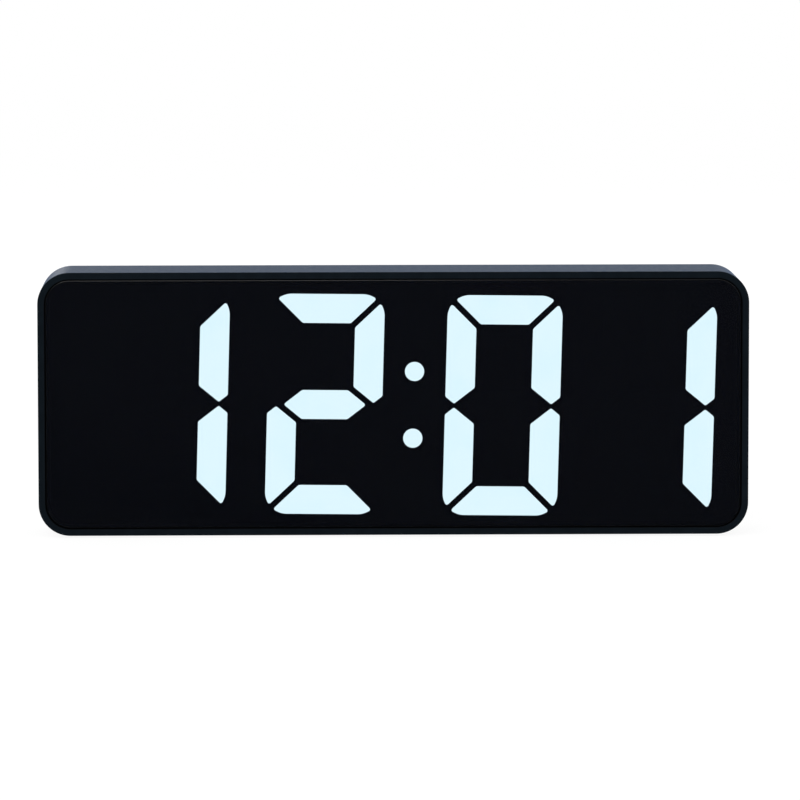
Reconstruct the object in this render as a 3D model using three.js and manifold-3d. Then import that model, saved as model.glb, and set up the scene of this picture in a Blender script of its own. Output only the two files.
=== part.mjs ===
// A bedside alarm clock with large seven-segment digits behind a smoked front lens.
// Millimetres. X runs along the front, Y from the front to the back and Z up. The origin is
// under the middle of the clock, on the surface that its foot pads stand on. Inside the clock
// group, Y is the depth behind the front edge and Z the height above the underside.

import * as THREE from 'three';
import { mergeVertices } from 'three/addons/utils/BufferGeometryUtils.js';
import Module from 'manifold-3d';

const wasm = await Module();
wasm.setup();

// Case
const caseWidth = 165;
const caseHeight = 61.3;
const caseDepth = 22;
const caseCorner = 7.4;
const caseWall = 1.6;
const edgeRound = 0.3;
const cornerSteps = 5;
const smallSteps = 2;
const pinFaces = 12;
const holeFaces = 8;
const cellFaces = 14;

// Clearances
const stackGap = 0.05;
const sideGap = 0.15;
const runGap = 0.25;
const pieceGap = 0.3;
const cutOver = 1;

// Front lens, the tape that holds it and the ledge that it is stuck to
const lensInset = 0.2;
const lensThickness = 2;
const lensBevel = 0.15;
const tapeThickness = 0.25;
const ledgeWidth = 1;
const ledgeThickness = 1.5;

// Row of digits: margins are measured from the lens edge to the upright row
const leftMargin = 15.55;
const rightMargin = 6.2;
const topMargin = 3.8;
const bottomMargin = 2.77;
const digitGap = 9.08;
const colonGap = 14.5;
const rowTilt = THREE.MathUtils.degToRad(0.62);
const digitSlant = THREE.MathUtils.degToRad(0.95);

// One digit
const stroke = 6.9;
const segmentGap = 1.3;
const digitCorner = 5.2;
const middleAngle = THREE.MathUtils.degToRad(38.5);
const middlePoint = 2.7;
const elbowHeight = 2.06;
const segmentFillet = 0.3;
const colonDiameter = 4.6;
const colonSpacing = 15.6;
const indicatorDiameter = 2;
const indicatorSpacing = 13;

// Mask, diffusers and reflector block
const maskThickness = 0.4;
const windowGap = 0.25;
const diffuserThickness = 0.6;
const diffuserBorder = 1.2;
const diffuserEdge = 0.3;
const reflectorDepth = 4.05;
const wellFloorShare = 0.45;

// Main board and what stands on it
const boardThickness = 1.2;
const boardInset = 0.8;
const lightChipLength = 1.6;
const lightChipWidth = 0.8;
const lightChipHeight = 0.7;
const chipLength = 10;
const chipWidth = 4;
const chipHeight = 1.5;
const chipLegPitch = 1.27;
const chipLegWidth = 0.45;
const chipLegReach = 1;
const chipLegsEachSide = 8;
const chipInset = 34.7;
const chipDrop = 15.3;
const crystalRadius = 1;
const crystalLength = 6;
const crystalDrop = 8;
const capacitorRadius = 3.15;
const capacitorHeight = 7.7;
const capacitorNeckShare = 0.92;
const capacitorGrooveShares = [0.12, 0.18, 0.24];
const capacitorShoulderShare = 0.95;
const capacitorOffset = 17.175;
const capacitorRise = 24;
const buzzerRadius = 6;
const buzzerHeight = 9.5;
const buzzerHole = 1.1;
const buzzerInset = 22.7;
const buzzerRise = 26;
const socketWidth = 8.9;
const socketHeight = 3.2;
const socketWall = 0.3;
const socketRecess = 0.6;
const socketTongueWidth = 6.6;
const socketTongueThickness = 0.7;
const socketTongueRecess = 0.8;
const socketInset = 20.7;
const socketRise = 15;

// Screws, bosses and posts
const screwRadius = 0.85;
const screwHeadRadius = 1.55;
const screwHeadHeight = 1.3;
const screwSlotWidth = 0.5;
const screwSlotDepth = 0.6;
const screwBite = 3;
const pilotGap = 0.1;
const throughGap = 0.2;
const boardBossRadius = 2.3;
const boardBossInset = 3.25;
const cornerBossRadius = 2.4;
const cornerBossRise = 0.5;
const postWell = 11;
const ribWidth = 2.4;

// Rear cover and its sound holes
const coverThickness = 1.8;
const coverRibWidth = 1;
const coverRibHeight = 3;
const soundHoleRadius = 0.8;
const soundHolePitch = 3;
const soundHoleRing = 6;
const portGap = 0.3;

// Cells, their bay and their contacts
const cellCount = 3;
const cellRadius = 5.25;
const cellLength = 43.3;
const cellRound = 0.4;
const nubRadius = 1.9;
const nubLength = 1.2;
const cellGap = 0.5;
const bayWall = 1.4;
const bayFloor = 1;
const bayRise = 6;
const plateThickness = 0.4;
const plateWidth = 8;
const plateHeight = 8;
const tailWidth = 2;
const tailReach = 3;
const springWire = 0.7;
const springLength = 5.3;
const springCurls = 3.5;
const springBase = 3.3;
const springTip = 2.5;
const springSteps = 8;
const springSides = 5;

// Battery cover
const doorThickness = 1.3;
const rebateWidth = 1.2;
const tonguePlace = 14;
const tongueWidth = 6;
const tongueThickness = 0.75;
const tongueReach = 1.3;
const tongueNeck = 1.4;
const latchWidth = 10;
const latchLength = 6;
const latchSlot = 0.8;
const gripGrooves = 3;
const gripPitch = 1.5;
const gripWidth = 0.7;
const gripDepth = 0.4;
const scoopRadius = 6;
const scoopDepth = 0.8;

// Keys, their switches and the board behind them
const keyCount = 4;
const keyPitch = 16;
const keyWidth = 9;
const keyHeight = 6;
const keyEdge = 0.5;
const keyProud = 1;
const keyDrop = 10.8;
const flangeThickness = 0.9;
const flangeBorder = 1.2;
const keyTravel = 0.5;
const switchWidth = 6;
const switchHeight = 3.5;
const plungerRadius = 1.6;
const plungerProud = 0.8;
const plungerSunk = 0.8;
const keyBoardThickness = 1.2;
const keyBoardHeight = 10;
const keyPostRadius = 2.2;
const keyPostOffset = 9;
const ribbonWidth = 5;
const ribbonThickness = 0.8;
const ribbonPlace = -16;
const ribbonShift = 2.5;

// Leads between the battery terminals and the main board
const wireRadius = 0.55;
const wireReach = 3.4;
const wireStraight = 1.1;
const wireClimb = 2.5;
const wireSteps = 10;
const wireSides = 8;

// Foot pads
const footLength = 18;
const footWidth = 8;
const footThickness = 1;
const footSunk = 0.5;
const footCorner = 1.5;
const footInset = 22.5;

// Depths behind the front edge, from front to back
const middle = caseHeight / 2;
const innerWidth = caseWidth - 2 * caseWall;
const innerHeight = caseHeight - 2 * caseWall;
const innerCorner = caseCorner - caseWall;
const throatWidth = innerWidth - 2 * ledgeWidth;
const throatHeight = innerHeight - 2 * ledgeWidth;
const throatCorner = innerCorner - ledgeWidth;
const lensBack = lensInset + lensThickness;
const tapeFront = lensBack + stackGap;
const ledgeFront = tapeFront + tapeThickness + stackGap;
const ledgeBack = ledgeFront + ledgeThickness;
const maskBack = ledgeFront + maskThickness;
const reflectorFront = maskBack + stackGap;
const pocketFloor = reflectorFront + diffuserThickness + stackGap;
const reflectorBack = reflectorFront + reflectorDepth;
const boardFront = reflectorBack + stackGap;
const boardBack = boardFront + boardThickness;
const onBoard = boardBack + stackGap;
const coverFront = caseDepth - coverThickness;

// Cell bay, measured from the board behind the digits
const bayFront = boardBack + cellGap;
const bayDeep = bayFront + bayFloor;
const cellPitch = 2 * cellRadius + cellGap;
const cellAxis = bayDeep + stackGap + cellRadius;
const bayHeight = cellCount * cellPitch + cellGap;
const bayLength = cellLength + nubLength + springLength + 2 * plateThickness + 5 * stackGap;
const bayTop = bayRise + bayHeight;
const plateFace = bayLength / 2 - stackGap - plateThickness;
const doorFront = caseDepth - doorThickness;
const bayOuter = bayLength / 2 + bayWall;
const tailLow = bayDeep + plateHeight / 3;
const leadDepth = tailLow + tailWidth / 2;
const tongueFront = coverFront - 2 * stackGap - tongueThickness;
const rowHeights = Array.from({ length: cellCount }, (_, i) => (
  bayRise + cellGap + cellRadius + i * cellPitch
));

// Places measured from the ends and the top of the case, or from the end of the bay
const chipPlace = [chipInset - innerWidth / 2, caseHeight - chipDrop];
const crystalPlace = [chipPlace[0], chipPlace[1] - crystalDrop];
const capacitorPlace = [bayOuter + capacitorOffset, capacitorRise];
const buzzerPlace = [buzzerInset - innerWidth / 2, buzzerRise];
const socketPlace = [innerWidth / 2 - socketInset, socketRise];
const footPlace = caseWidth / 2 - footInset;

// Keys and switches
const keyMiddle = caseHeight - keyDrop;
const flangeBack = coverFront - runGap;
const flangeFront = flangeBack - flangeThickness;
const plungerBack = flangeFront - stackGap;
const switchBack = plungerBack - plungerProud;
const switchFront = switchBack - switchHeight;
const keyBoardBack = switchFront - stackGap;
const keyBoardFront = keyBoardBack - keyBoardThickness;
const keyPlaces = Array.from({ length: keyCount }, (_, i) => (i - (keyCount - 1) / 2) * keyPitch);
const keyPostX = keyPlaces[keyCount - 1] + keyPostOffset;

// Row of digits, which leans and tilts a little inside its upright margins
const lensWidth = innerWidth - 2 * sideGap;
const lensHeight = innerHeight - 2 * sideGap;
const rowWidth = innerWidth - leftMargin - rightMargin;
const digitWidth = (rowWidth - 2 * digitGap - colonGap) / 4;
const digitHeight = innerHeight - topMargin - bottomMargin;
const rowX = (leftMargin - rightMargin) / 2;
const rowZ = caseWall + bottomMargin + digitHeight / 2;
const digitPlaces = [
  -1.5 * digitWidth - digitGap - colonGap / 2,
  -0.5 * digitWidth - colonGap / 2,
  0.5 * digitWidth + colonGap / 2,
  1.5 * digitWidth + digitGap + colonGap / 2,
];
const indicatorX = leftMargin / 2 - innerWidth / 2;

// Screw places: each corner post just clears the rounded corner of the case
const cornerReach = (innerCorner - sideGap - cornerBossRadius) / Math.SQRT2;
const cornerBossX = innerWidth / 2 - innerCorner + cornerReach;
const cornerBossZ = innerHeight / 2 - innerCorner + cornerReach;
const cornerBossBack = boardBack + cornerBossRise;
const boardBossZ = innerHeight / 2 - boardBossInset;
const boardBossRow = digitWidth + (digitGap + colonGap) / 2;
const sides = [-1, 1];
const cornerPlaces = sides.flatMap((right) => sides.map((up) => (
  { x: right * cornerBossX, z: middle + up * cornerBossZ, right, up }
)));
const boardBossPlaces = sides.flatMap((right) => sides.map((up) => {
  const z = middle + up * boardBossZ;
  return { x: onPanel(right * boardBossRow, z - rowZ)[0], z, up };
}));

// Materials
const casePlastic = { color: 0x14181d, roughness: 0.55, metalness: 0 };
const keyPlastic = { color: 0x1d2126, roughness: 0.5, metalness: 0 };
const smokedGlass = { color: 0x0b0c10, roughness: 0.08, metalness: 0 };
const blackSheet = { color: 0x08090b, roughness: 0.9, metalness: 0 };
const whitePlastic = { color: 0xe9edf0, roughness: 0.6, metalness: 0 };
const litPlastic = { color: 0xdff7ff, roughness: 0.5, metalness: 0 };
const boardResin = { color: 0x1e5a38, roughness: 0.5, metalness: 0 };
const partBlack = { color: 0x1a1a1c, roughness: 0.5, metalness: 0 };
const steel = { color: 0xb9bcc0, roughness: 0.3, metalness: 1 };
const copperSkin = { color: 0xb98a4a, roughness: 0.35, metalness: 0.6 };
const softRubber = { color: 0x16171a, roughness: 0.9, metalness: 0 };
const redSleeve = { color: 0xa3221c, roughness: 0.5, metalness: 0 };
const greySleeve = { color: 0x8d9299, roughness: 0.5, metalness: 0 };

const clock = new THREE.Group();
clock.position.set(0, -(caseDepth + keyProud) / 2, footThickness - footSunk);

// Solids and meshes

function solidOf(geometry) {
  const bare = geometry.clone();
  bare.deleteAttribute('normal');
  bare.deleteAttribute('uv');
  const merged = mergeVertices(bare);
  return new wasm.Manifold(new wasm.Mesh({
    numProp: 3,
    vertProperties: new Float32Array(merged.attributes.position.array),
    triVerts: new Uint32Array(merged.index.array),
  }));
}

function geometryOf(solid) {
  const { vertProperties, triVerts } = solid.getMesh();
  const geometry = new THREE.BufferGeometry();
  geometry.setAttribute('position', new THREE.BufferAttribute(new Float32Array(vertProperties), 3));
  geometry.setIndex(new THREE.BufferAttribute(new Uint32Array(triVerts), 1));
  geometry.computeVertexNormals();
  return geometry;
}

function joined(first, ...others) {
  return others.reduce((sum, other) => sum.add(other), first);
}

function cut(solid, ...tools) {
  return tools.reduce((rest, tool) => rest.subtract(tool), solid);
}

function piece(name, shape, look, place = [0, 0, 0]) {
  const geometry = shape.isBufferGeometry ? shape : geometryOf(shape);
  const mesh = new THREE.Mesh(geometry, new THREE.MeshStandardMaterial(look));
  mesh.name = name;
  mesh.position.set(...place);
  clock.add(mesh);
  return mesh;
}

// Flat outlines are drawn in X and Z and pushed through the depth of the clock

function pushed(shape, near, far, curveSegments = cornerSteps) {
  const settings = { depth: far - near, bevelEnabled: false, curveSegments };
  const geometry = new THREE.ExtrudeGeometry(shape, settings);
  return solidOf(geometry.rotateX(Math.PI / 2).translate(0, far, 0));
}

function pushedRound(shape, near, far, edge, steps, curveSegments = cornerSteps) {
  const geometry = new THREE.ExtrudeGeometry(shape, {
    depth: far - near - 2 * edge,
    bevelEnabled: true,
    bevelThickness: edge,
    bevelSize: edge,
    bevelOffset: -edge,
    bevelSegments: steps,
    curveSegments,
  });
  return solidOf(geometry.rotateX(Math.PI / 2).translate(0, far - edge, 0));
}

function roundedOutline(width, height, radius, x = 0, z = middle) {
  const right = width / 2 - radius;
  const up = height / 2 - radius;
  const shape = new THREE.Shape();
  const quarter = Math.PI / 2;
  shape.absarc(x + right, z + up, radius, 0, quarter, false);
  shape.absarc(x - right, z + up, radius, quarter, 2 * quarter, false);
  shape.absarc(x - right, z - up, radius, 2 * quarter, 3 * quarter, false);
  shape.absarc(x + right, z - up, radius, 3 * quarter, 4 * quarter, false);
  shape.closePath();
  return shape;
}

function pin(radius, near, far, x, z, faces = pinFaces) {
  const geometry = new THREE.CylinderGeometry(radius, radius, far - near, faces);
  return solidOf(geometry.translate(x, (near + far) / 2, z));
}

function block(left, right, near, far, low, high) {
  const geometry = new THREE.BoxGeometry(right - left, far - near, high - low);
  return solidOf(geometry.translate((left + right) / 2, (near + far) / 2, (low + high) / 2));
}

// A plate centred on a place in the front view
function slab(x, z, width, height, near, far) {
  return block(x - width / 2, x + width / 2, near, far, z - height / 2, z + height / 2);
}

// Digits

function onPanel(along, up) {
  const leaning = along + up * Math.tan(digitSlant);
  return [
    rowX + leaning * Math.cos(rowTilt) + up * Math.sin(rowTilt),
    rowZ - leaning * Math.sin(rowTilt) + up * Math.cos(rowTilt),
  ];
}

function arc(centre, radius, from, to, steps) {
  return Array.from({ length: steps + 1 }, (_, i) => {
    const angle = from + (to - from) * i / steps;
    return [centre[0] + radius * Math.cos(angle), centre[1] + radius * Math.sin(angle)];
  });
}

function anticlockwise(ring) {
  const area = ring.reduce((sum, [x, y], i) => {
    const [nextX, nextY] = ring[(i + 1) % ring.length];
    return sum + x * nextY - nextX * y;
  }, 0);
  return area < 0 ? [...ring].reverse() : ring;
}

// The seven strokes of a digit about its own middle: a at the top, f and e on the left,
// b and c on the right, d at the bottom and g across the middle
function digitStrokes() {
  const side = digitWidth / 2;
  const top = digitHeight / 2;
  const mitre = segmentGap / Math.SQRT2;
  const spread = Math.asin(segmentGap / 2 / digitCorner);
  const cornerCentre = [digitCorner - side, top - digitCorner];
  const diagonal = 3 * Math.PI / 4;
  const slope = Math.tan(middleAngle);
  const halfNotch = segmentGap / 2 / Math.sin(middleAngle);
  const sideFoot = middlePoint - halfNotch;
  const heel = (elbowHeight / slope + sideFoot) / 2;
  const roundSteps = 3;
  const outerTop = arc(cornerCentre, digitCorner, diagonal - spread, Math.PI / 2, roundSteps);
  const outerSide = arc(cornerCentre, digitCorner, diagonal + spread, Math.PI, roundSteps);
  const flip = ([x, y]) => [-x, y];
  const drop = ([x, y]) => [x, -y];
  const a = [
    ...outerTop,
    ...outerTop.map(flip).reverse(),
    [side - stroke - mitre, top - stroke],
    [stroke + mitre - side, top - stroke],
  ];
  const f = [
    ...outerSide,
    [-side, elbowHeight],
    [heel - side, elbowHeight - heel * slope],
    [stroke - side, (stroke - sideFoot) * slope],
    [stroke - side, top - stroke - mitre],
  ];
  const tip = side - middlePoint - halfNotch;
  const shoulder = tip - stroke / 2 / slope;
  const g = [
    [-tip, 0], [-shoulder, -stroke / 2], [shoulder, -stroke / 2],
    [tip, 0], [shoulder, stroke / 2], [-shoulder, stroke / 2],
  ];
  return [a, f.map(flip), f.map(flip).map(drop), a.map(drop), f.map(drop), f, g];
}

function eachEdge(ring) {
  return ring.map(([x, y], i) => {
    const [nextX, nextY] = ring[(i + 1) % ring.length];
    return new THREE.Vector2(nextX - x, nextY - y);
  });
}

// Sharp corners of a stroke are cut back; the points along its round corners stay
function softened(ring) {
  const sharp = Math.PI / 6;
  const edges = eachEdge(ring);
  return ring.flatMap(([x, y], i) => {
    const before = edges[(i + ring.length - 1) % ring.length].clone().normalize();
    const after = edges[i].clone().normalize();
    if (Math.acos(before.dot(after)) < sharp) return [[x, y]];
    return [
      [x - before.x * segmentFillet, y - before.y * segmentFillet],
      [x + after.x * segmentFillet, y + after.y * segmentFillet],
    ];
  });
}

// Moves every edge of an anticlockwise ring outwards
function grown(ring, border) {
  const outward = eachEdge(ring).map((edge) => new THREE.Vector2(edge.y, -edge.x).normalize());
  return ring.map(([x, y], i) => {
    const before = outward[(i + ring.length - 1) % ring.length];
    const after = outward[i];
    const reach = border / (1 + before.dot(after));
    return [x + (before.x + after.x) * reach, y + (before.y + after.y) * reach];
  });
}

function centreOf(ring) {
  const sum = ring.reduce(([x, y], point) => [x + point[0], y + point[1]], [0, 0]);
  return sum.map((total) => total / ring.length);
}

function circleRing([x, z], radius, steps) {
  return arc([x, z], radius, 0, 2 * Math.PI, steps).slice(0, -1);
}

function shapeOf(ring) {
  return new THREE.Shape(ring.map(([x, z]) => new THREE.Vector2(x, z)));
}

const sharpStrokes = digitStrokes().map(anticlockwise);
const roundStrokes = sharpStrokes.map(softened);
const inRow = (rings) => digitPlaces.map((place) => rings.map((ring) => (
  ring.map(([along, up]) => onPanel(place + along, up))
)));
const digitRings = inRow(roundStrokes);
const dotSteps = 12;
const colonRings = sides.map((up) => (
  circleRing(onPanel(0, up * colonSpacing / 2), colonDiameter / 2, dotSteps)
));
const indicatorRings = [-1, 0, 1].map((up) => (
  circleRing([indicatorX, rowZ + up * indicatorSpacing], indicatorDiameter / 2, dotSteps)
));
const lightRings = [...inRow(sharpStrokes).flat(), ...colonRings, ...indicatorRings];

// A light well narrows from the whole window at the front to a hole round its light chip
function lightWell(ring) {
  const [x, z] = centreOf(ring);
  const depth = reflectorBack - pocketFloor;
  const chipReach = Math.hypot(lightChipLength, lightChipWidth) / 2 + sideGap;
  const ringReach = Math.min(...ring.map((point) => Math.hypot(point[0] - x, point[1] - z)));
  const floorShare = Math.max(wellFloorShare, chipReach / ringReach);
  const ends = [pocketFloor - cutOver, reflectorBack + cutOver].map((y) => {
    const share = 1 - (1 - floorShare) * (y - pocketFloor) / depth;
    return ring.map((point) => [x + (point[0] - x) * share, y, z + (point[1] - z) * share]);
  });
  const count = ring.length;
  const positions = ends.flat(2);
  const index = [];
  for (let i = 0; i < count; i += 1) {
    const next = (i + 1) % count;
    index.push(i, count + next, next, i, count + i, count + next);
    if (i > 0 && next > 0) {
      index.push(0, i, next);
      index.push(count, count + next, count + i);
    }
  }
  const geometry = new THREE.BufferGeometry();
  geometry.setAttribute('position', new THREE.Float32BufferAttribute(positions, 3));
  geometry.setIndex(index);
  return solidOf(geometry);
}

function plateRing(left, right, low, high) {
  return [[left, low], [right, low], [right, high], [left, high]].map(([u, v]) => onPanel(u, v));
}

const colonPlate = plateRing(
  -colonDiameter / 2 - diffuserBorder,
  colonDiameter / 2 + diffuserBorder,
  -(colonSpacing + colonDiameter) / 2 - diffuserBorder,
  (colonSpacing + colonDiameter) / 2 + diffuserBorder,
);
const digitPlates = digitPlaces.map((place) => plateRing(
  place - digitWidth / 2 - diffuserBorder,
  place + digitWidth / 2 + diffuserBorder,
  -digitHeight / 2 - diffuserEdge,
  digitHeight / 2 + diffuserEdge,
));
const indicatorHalf = indicatorDiameter / 2 + diffuserBorder;
const indicatorPlate = [[-1, -1], [1, -1], [1, 1], [-1, 1]].map(([right, up]) => [
  indicatorX + right * indicatorHalf,
  rowZ + up * (indicatorSpacing + indicatorHalf),
]);

// Fastener seats

function cornerNotch(place, near, far) {
  const reach = cornerBossRadius + pieceGap;
  const slotHalf = ribWidth / 2 + pieceGap;
  const slot = new THREE.BoxGeometry(caseCorner, far - near, 2 * slotHalf);
  slot.translate(caseCorner / 2, 0, 0).rotateY(-place.up * Math.PI / 4);
  if (place.right < 0) slot.rotateZ(Math.PI);
  slot.translate(place.x, (near + far) / 2, place.z);
  return joined(pin(reach, near, far, place.x, place.z), solidOf(slot));
}

function cornerRib(place, near, far) {
  const run = new THREE.BoxGeometry(cornerBossRadius + caseWall / 2, far - near, ribWidth);
  run.translate((cornerBossRadius + caseWall / 2) / 2, 0, 0).rotateY(-place.up * Math.PI / 4);
  if (place.right < 0) run.rotateZ(Math.PI);
  return solidOf(run.translate(place.x, (near + far) / 2, place.z));
}

function edgeRib(place, border, near, far) {
  const edge = middle + place.up * (innerHeight / 2 + caseWall / 2);
  const half = ribWidth / 2 + border;
  const low = Math.min(place.z, edge);
  const high = Math.max(place.z, edge);
  return block(place.x - half, place.x + half, near, far, low, high);
}

function housing() {
  let shell = pushedRound(
    roundedOutline(caseWidth, caseHeight, caseCorner), 0, caseDepth, edgeRound, smallSteps,
  );
  shell = cut(
    shell,
    pushed(roundedOutline(innerWidth, innerHeight, innerCorner), -cutOver, ledgeFront),
    pushed(roundedOutline(throatWidth, throatHeight, throatCorner), 0, caseDepth),
    pushed(roundedOutline(innerWidth, innerHeight, innerCorner), ledgeBack, caseDepth + cutOver),
  );
  for (const place of cornerPlaces) {
    const boss = joined(
      pin(cornerBossRadius, ledgeBack, cornerBossBack, place.x, place.z),
      cornerRib(place, ledgeBack, cornerBossBack),
    );
    shell = joined(shell, boss);
    shell = cut(shell, pin(
      screwRadius + pilotGap, ledgeBack + cutOver / 2, cornerBossBack + cutOver, place.x, place.z,
      holeFaces,
    ));
  }
  for (const place of boardBossPlaces) {
    const boss = joined(
      pin(boardBossRadius, ledgeBack, reflectorBack, place.x, place.z),
      edgeRib(place, 0, ledgeBack, reflectorBack),
    );
    shell = joined(shell, boss);
    shell = cut(shell, pin(
      screwRadius + pilotGap, ledgeBack + cutOver / 2, reflectorBack + cutOver, place.x, place.z,
      holeFaces,
    ));
  }
  for (const right of sides) {
    shell = cut(shell, footShape(sideGap, footSunk + cutOver)
      .translate([right * footPlace, caseDepth / 2, -cutOver]));
  }
  return shell;
}

function footShape(border, thickness) {
  const outline = roundedOutline(
    footLength + 2 * border, footWidth + 2 * border, footCorner + border, 0, 0,
  );
  return solidOf(new THREE.ExtrudeGeometry(outline, {
    depth: thickness, bevelEnabled: false, curveSegments: smallSteps,
  }));
}

function lens() {
  const outline = roundedOutline(lensWidth, lensHeight, innerCorner - sideGap);
  return pushedRound(outline, lensInset, lensBack, lensBevel, 1);
}

function adhesive() {
  const frame = roundedOutline(lensWidth, lensHeight, innerCorner - sideGap);
  frame.holes.push(roundedOutline(throatWidth, throatHeight, throatCorner));
  return pushed(frame, tapeFront, tapeFront + tapeThickness);
}

function mask() {
  const sheet = roundedOutline(
    throatWidth - 2 * sideGap, throatHeight - 2 * sideGap, throatCorner - sideGap,
  );
  const windows = lightRings.map((ring) => (
    pushed(shapeOf(grown(ring, windowGap)), ledgeFront - cutOver, maskBack + cutOver)
  ));
  return cut(pushed(sheet, ledgeFront, maskBack), ...windows);
}

function diffuser(plate, rings) {
  const back = reflectorFront + diffuserThickness;
  const base = pushed(shapeOf(plate), reflectorFront, back);
  const raised = rings.map((ring) => (
    pushed(shapeOf(ring), ledgeFront, reflectorFront + diffuserThickness / 2)
  ));
  return joined(base, ...raised);
}

function reflector() {
  const through = [reflectorFront - cutOver, reflectorBack + cutOver];
  const flangeStart = ledgeBack + stackGap;
  let body = joined(
    pushed(roundedOutline(
      throatWidth - 2 * sideGap, throatHeight - 2 * sideGap, throatCorner - sideGap,
    ), reflectorFront, flangeStart + cutOver),
    pushed(roundedOutline(
      innerWidth - 2 * pieceGap, innerHeight - 2 * pieceGap, innerCorner - pieceGap,
    ), flangeStart, reflectorBack),
  );
  for (const place of cornerPlaces) body = cut(body, cornerNotch(place, ...through));
  for (const place of boardBossPlaces) {
    body = cut(
      body,
      pin(boardBossRadius + pieceGap, ...through, place.x, place.z),
      edgeRib(place, pieceGap, ...through),
    );
  }
  for (const plate of [...digitPlates, colonPlate, indicatorPlate]) {
    const pocket = shapeOf(grown(anticlockwise(plate), sideGap));
    body = cut(body, pushed(pocket, reflectorFront - cutOver, pocketFloor));
  }
  for (const ring of lightRings) body = cut(body, lightWell(ring));
  return body;
}

function mainBoard() {
  let board = pushed(roundedOutline(
    innerWidth - 2 * boardInset, innerHeight - 2 * boardInset, innerCorner - boardInset,
  ), boardFront, boardBack);
  const through = [boardFront - cutOver, boardBack + cutOver];
  for (const place of cornerPlaces) board = cut(board, cornerNotch(place, ...through));
  for (const place of boardBossPlaces) {
    board = cut(board, pin(screwRadius + throughGap, ...through, place.x, place.z));
  }
  const chips = lightRings.map((ring) => {
    const [x, z] = centreOf(ring);
    const near = boardFront - lightChipHeight;
    return slab(x, z, lightChipLength, lightChipWidth, near, boardFront + boardThickness / 2);
  });
  return joined(board, ...chips);
}

// A pan-head screw whose head lies against the depth y = 0, shank towards the front
function screw(shankLength) {
  const head = pin(screwHeadRadius, 0, screwHeadHeight, 0, 0);
  const shank = pin(screwRadius, -shankLength, screwHeadHeight / 2, 0, 0, holeFaces);
  const half = screwSlotWidth / 2;
  const arm = screwHeadRadius * 2 / 3;
  const slots = [
    block(-arm, arm, screwHeadHeight - screwSlotDepth, screwHeadHeight + cutOver, -half, half),
    block(-half, half, screwHeadHeight - screwSlotDepth, screwHeadHeight + cutOver, -arm, arm),
  ];
  return cut(joined(head, shank), ...slots);
}

function clockChip() {
  let chip = slab(0, 0, chipLength, chipWidth, chipLegWidth, chipHeight);
  for (const up of sides) {
    for (let i = 0; i < chipLegsEachSide; i += 1) {
      const legX = (i - (chipLegsEachSide - 1) / 2) * chipLegPitch;
      const reach = chipWidth / 2 + chipLegReach;
      const low = up > 0 ? 0 : -reach;
      const high = up > 0 ? reach : 0;
      const half = chipLegWidth / 2;
      chip = joined(chip, block(legX - half, legX + half, 0, chipHeight / 2, low, high));
    }
  }
  return chip;
}

function capacitor() {
  const neck = capacitorRadius * capacitorNeckShare;
  const [below, groove, above] = capacitorGrooveShares.map((share) => capacitorHeight * share);
  const profile = [
    [0, 0], [capacitorRadius, 0], [capacitorRadius, below], [neck, groove], [capacitorRadius, above],
    [capacitorRadius, capacitorHeight * capacitorShoulderShare], [neck, capacitorHeight],
    [0, capacitorHeight],
  ];
  return new THREE.LatheGeometry(profile.map(([r, y]) => new THREE.Vector2(r, y)), pinFaces);
}

function buzzer() {
  return cut(
    pin(buzzerRadius, 0, buzzerHeight, 0, 0, cellFaces),
    pin(buzzerHole, buzzerHeight - cutOver, buzzerHeight + cutOver, 0, 0, holeFaces),
  );
}

function crystal() {
  const can = new THREE.CylinderGeometry(crystalRadius, crystalRadius, crystalLength, pinFaces);
  return can.rotateZ(Math.PI / 2).translate(0, crystalRadius, 0);
}

function pill(width, height, border = 0) {
  const half = height / 2 + border;
  return roundedOutline(width + 2 * border, 2 * half, half, 0, 0);
}

function socket() {
  const depth = caseDepth - socketRecess - onBoard;
  const floor = socketWall * 4;
  const inner = pill(socketWidth - 2 * socketWall, socketHeight - 2 * socketWall);
  const shell = cut(
    pushed(pill(socketWidth, socketHeight), 0, depth, smallSteps),
    pushed(inner, floor, depth + cutOver, smallSteps),
  );
  const tongue = slab(
    0, 0, socketTongueWidth, socketTongueThickness, floor / 2, depth - socketTongueRecess,
  );
  return joined(shell, tongue);
}

// Rear cover with its cell bay, key holes, sound holes, port and screw posts

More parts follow.
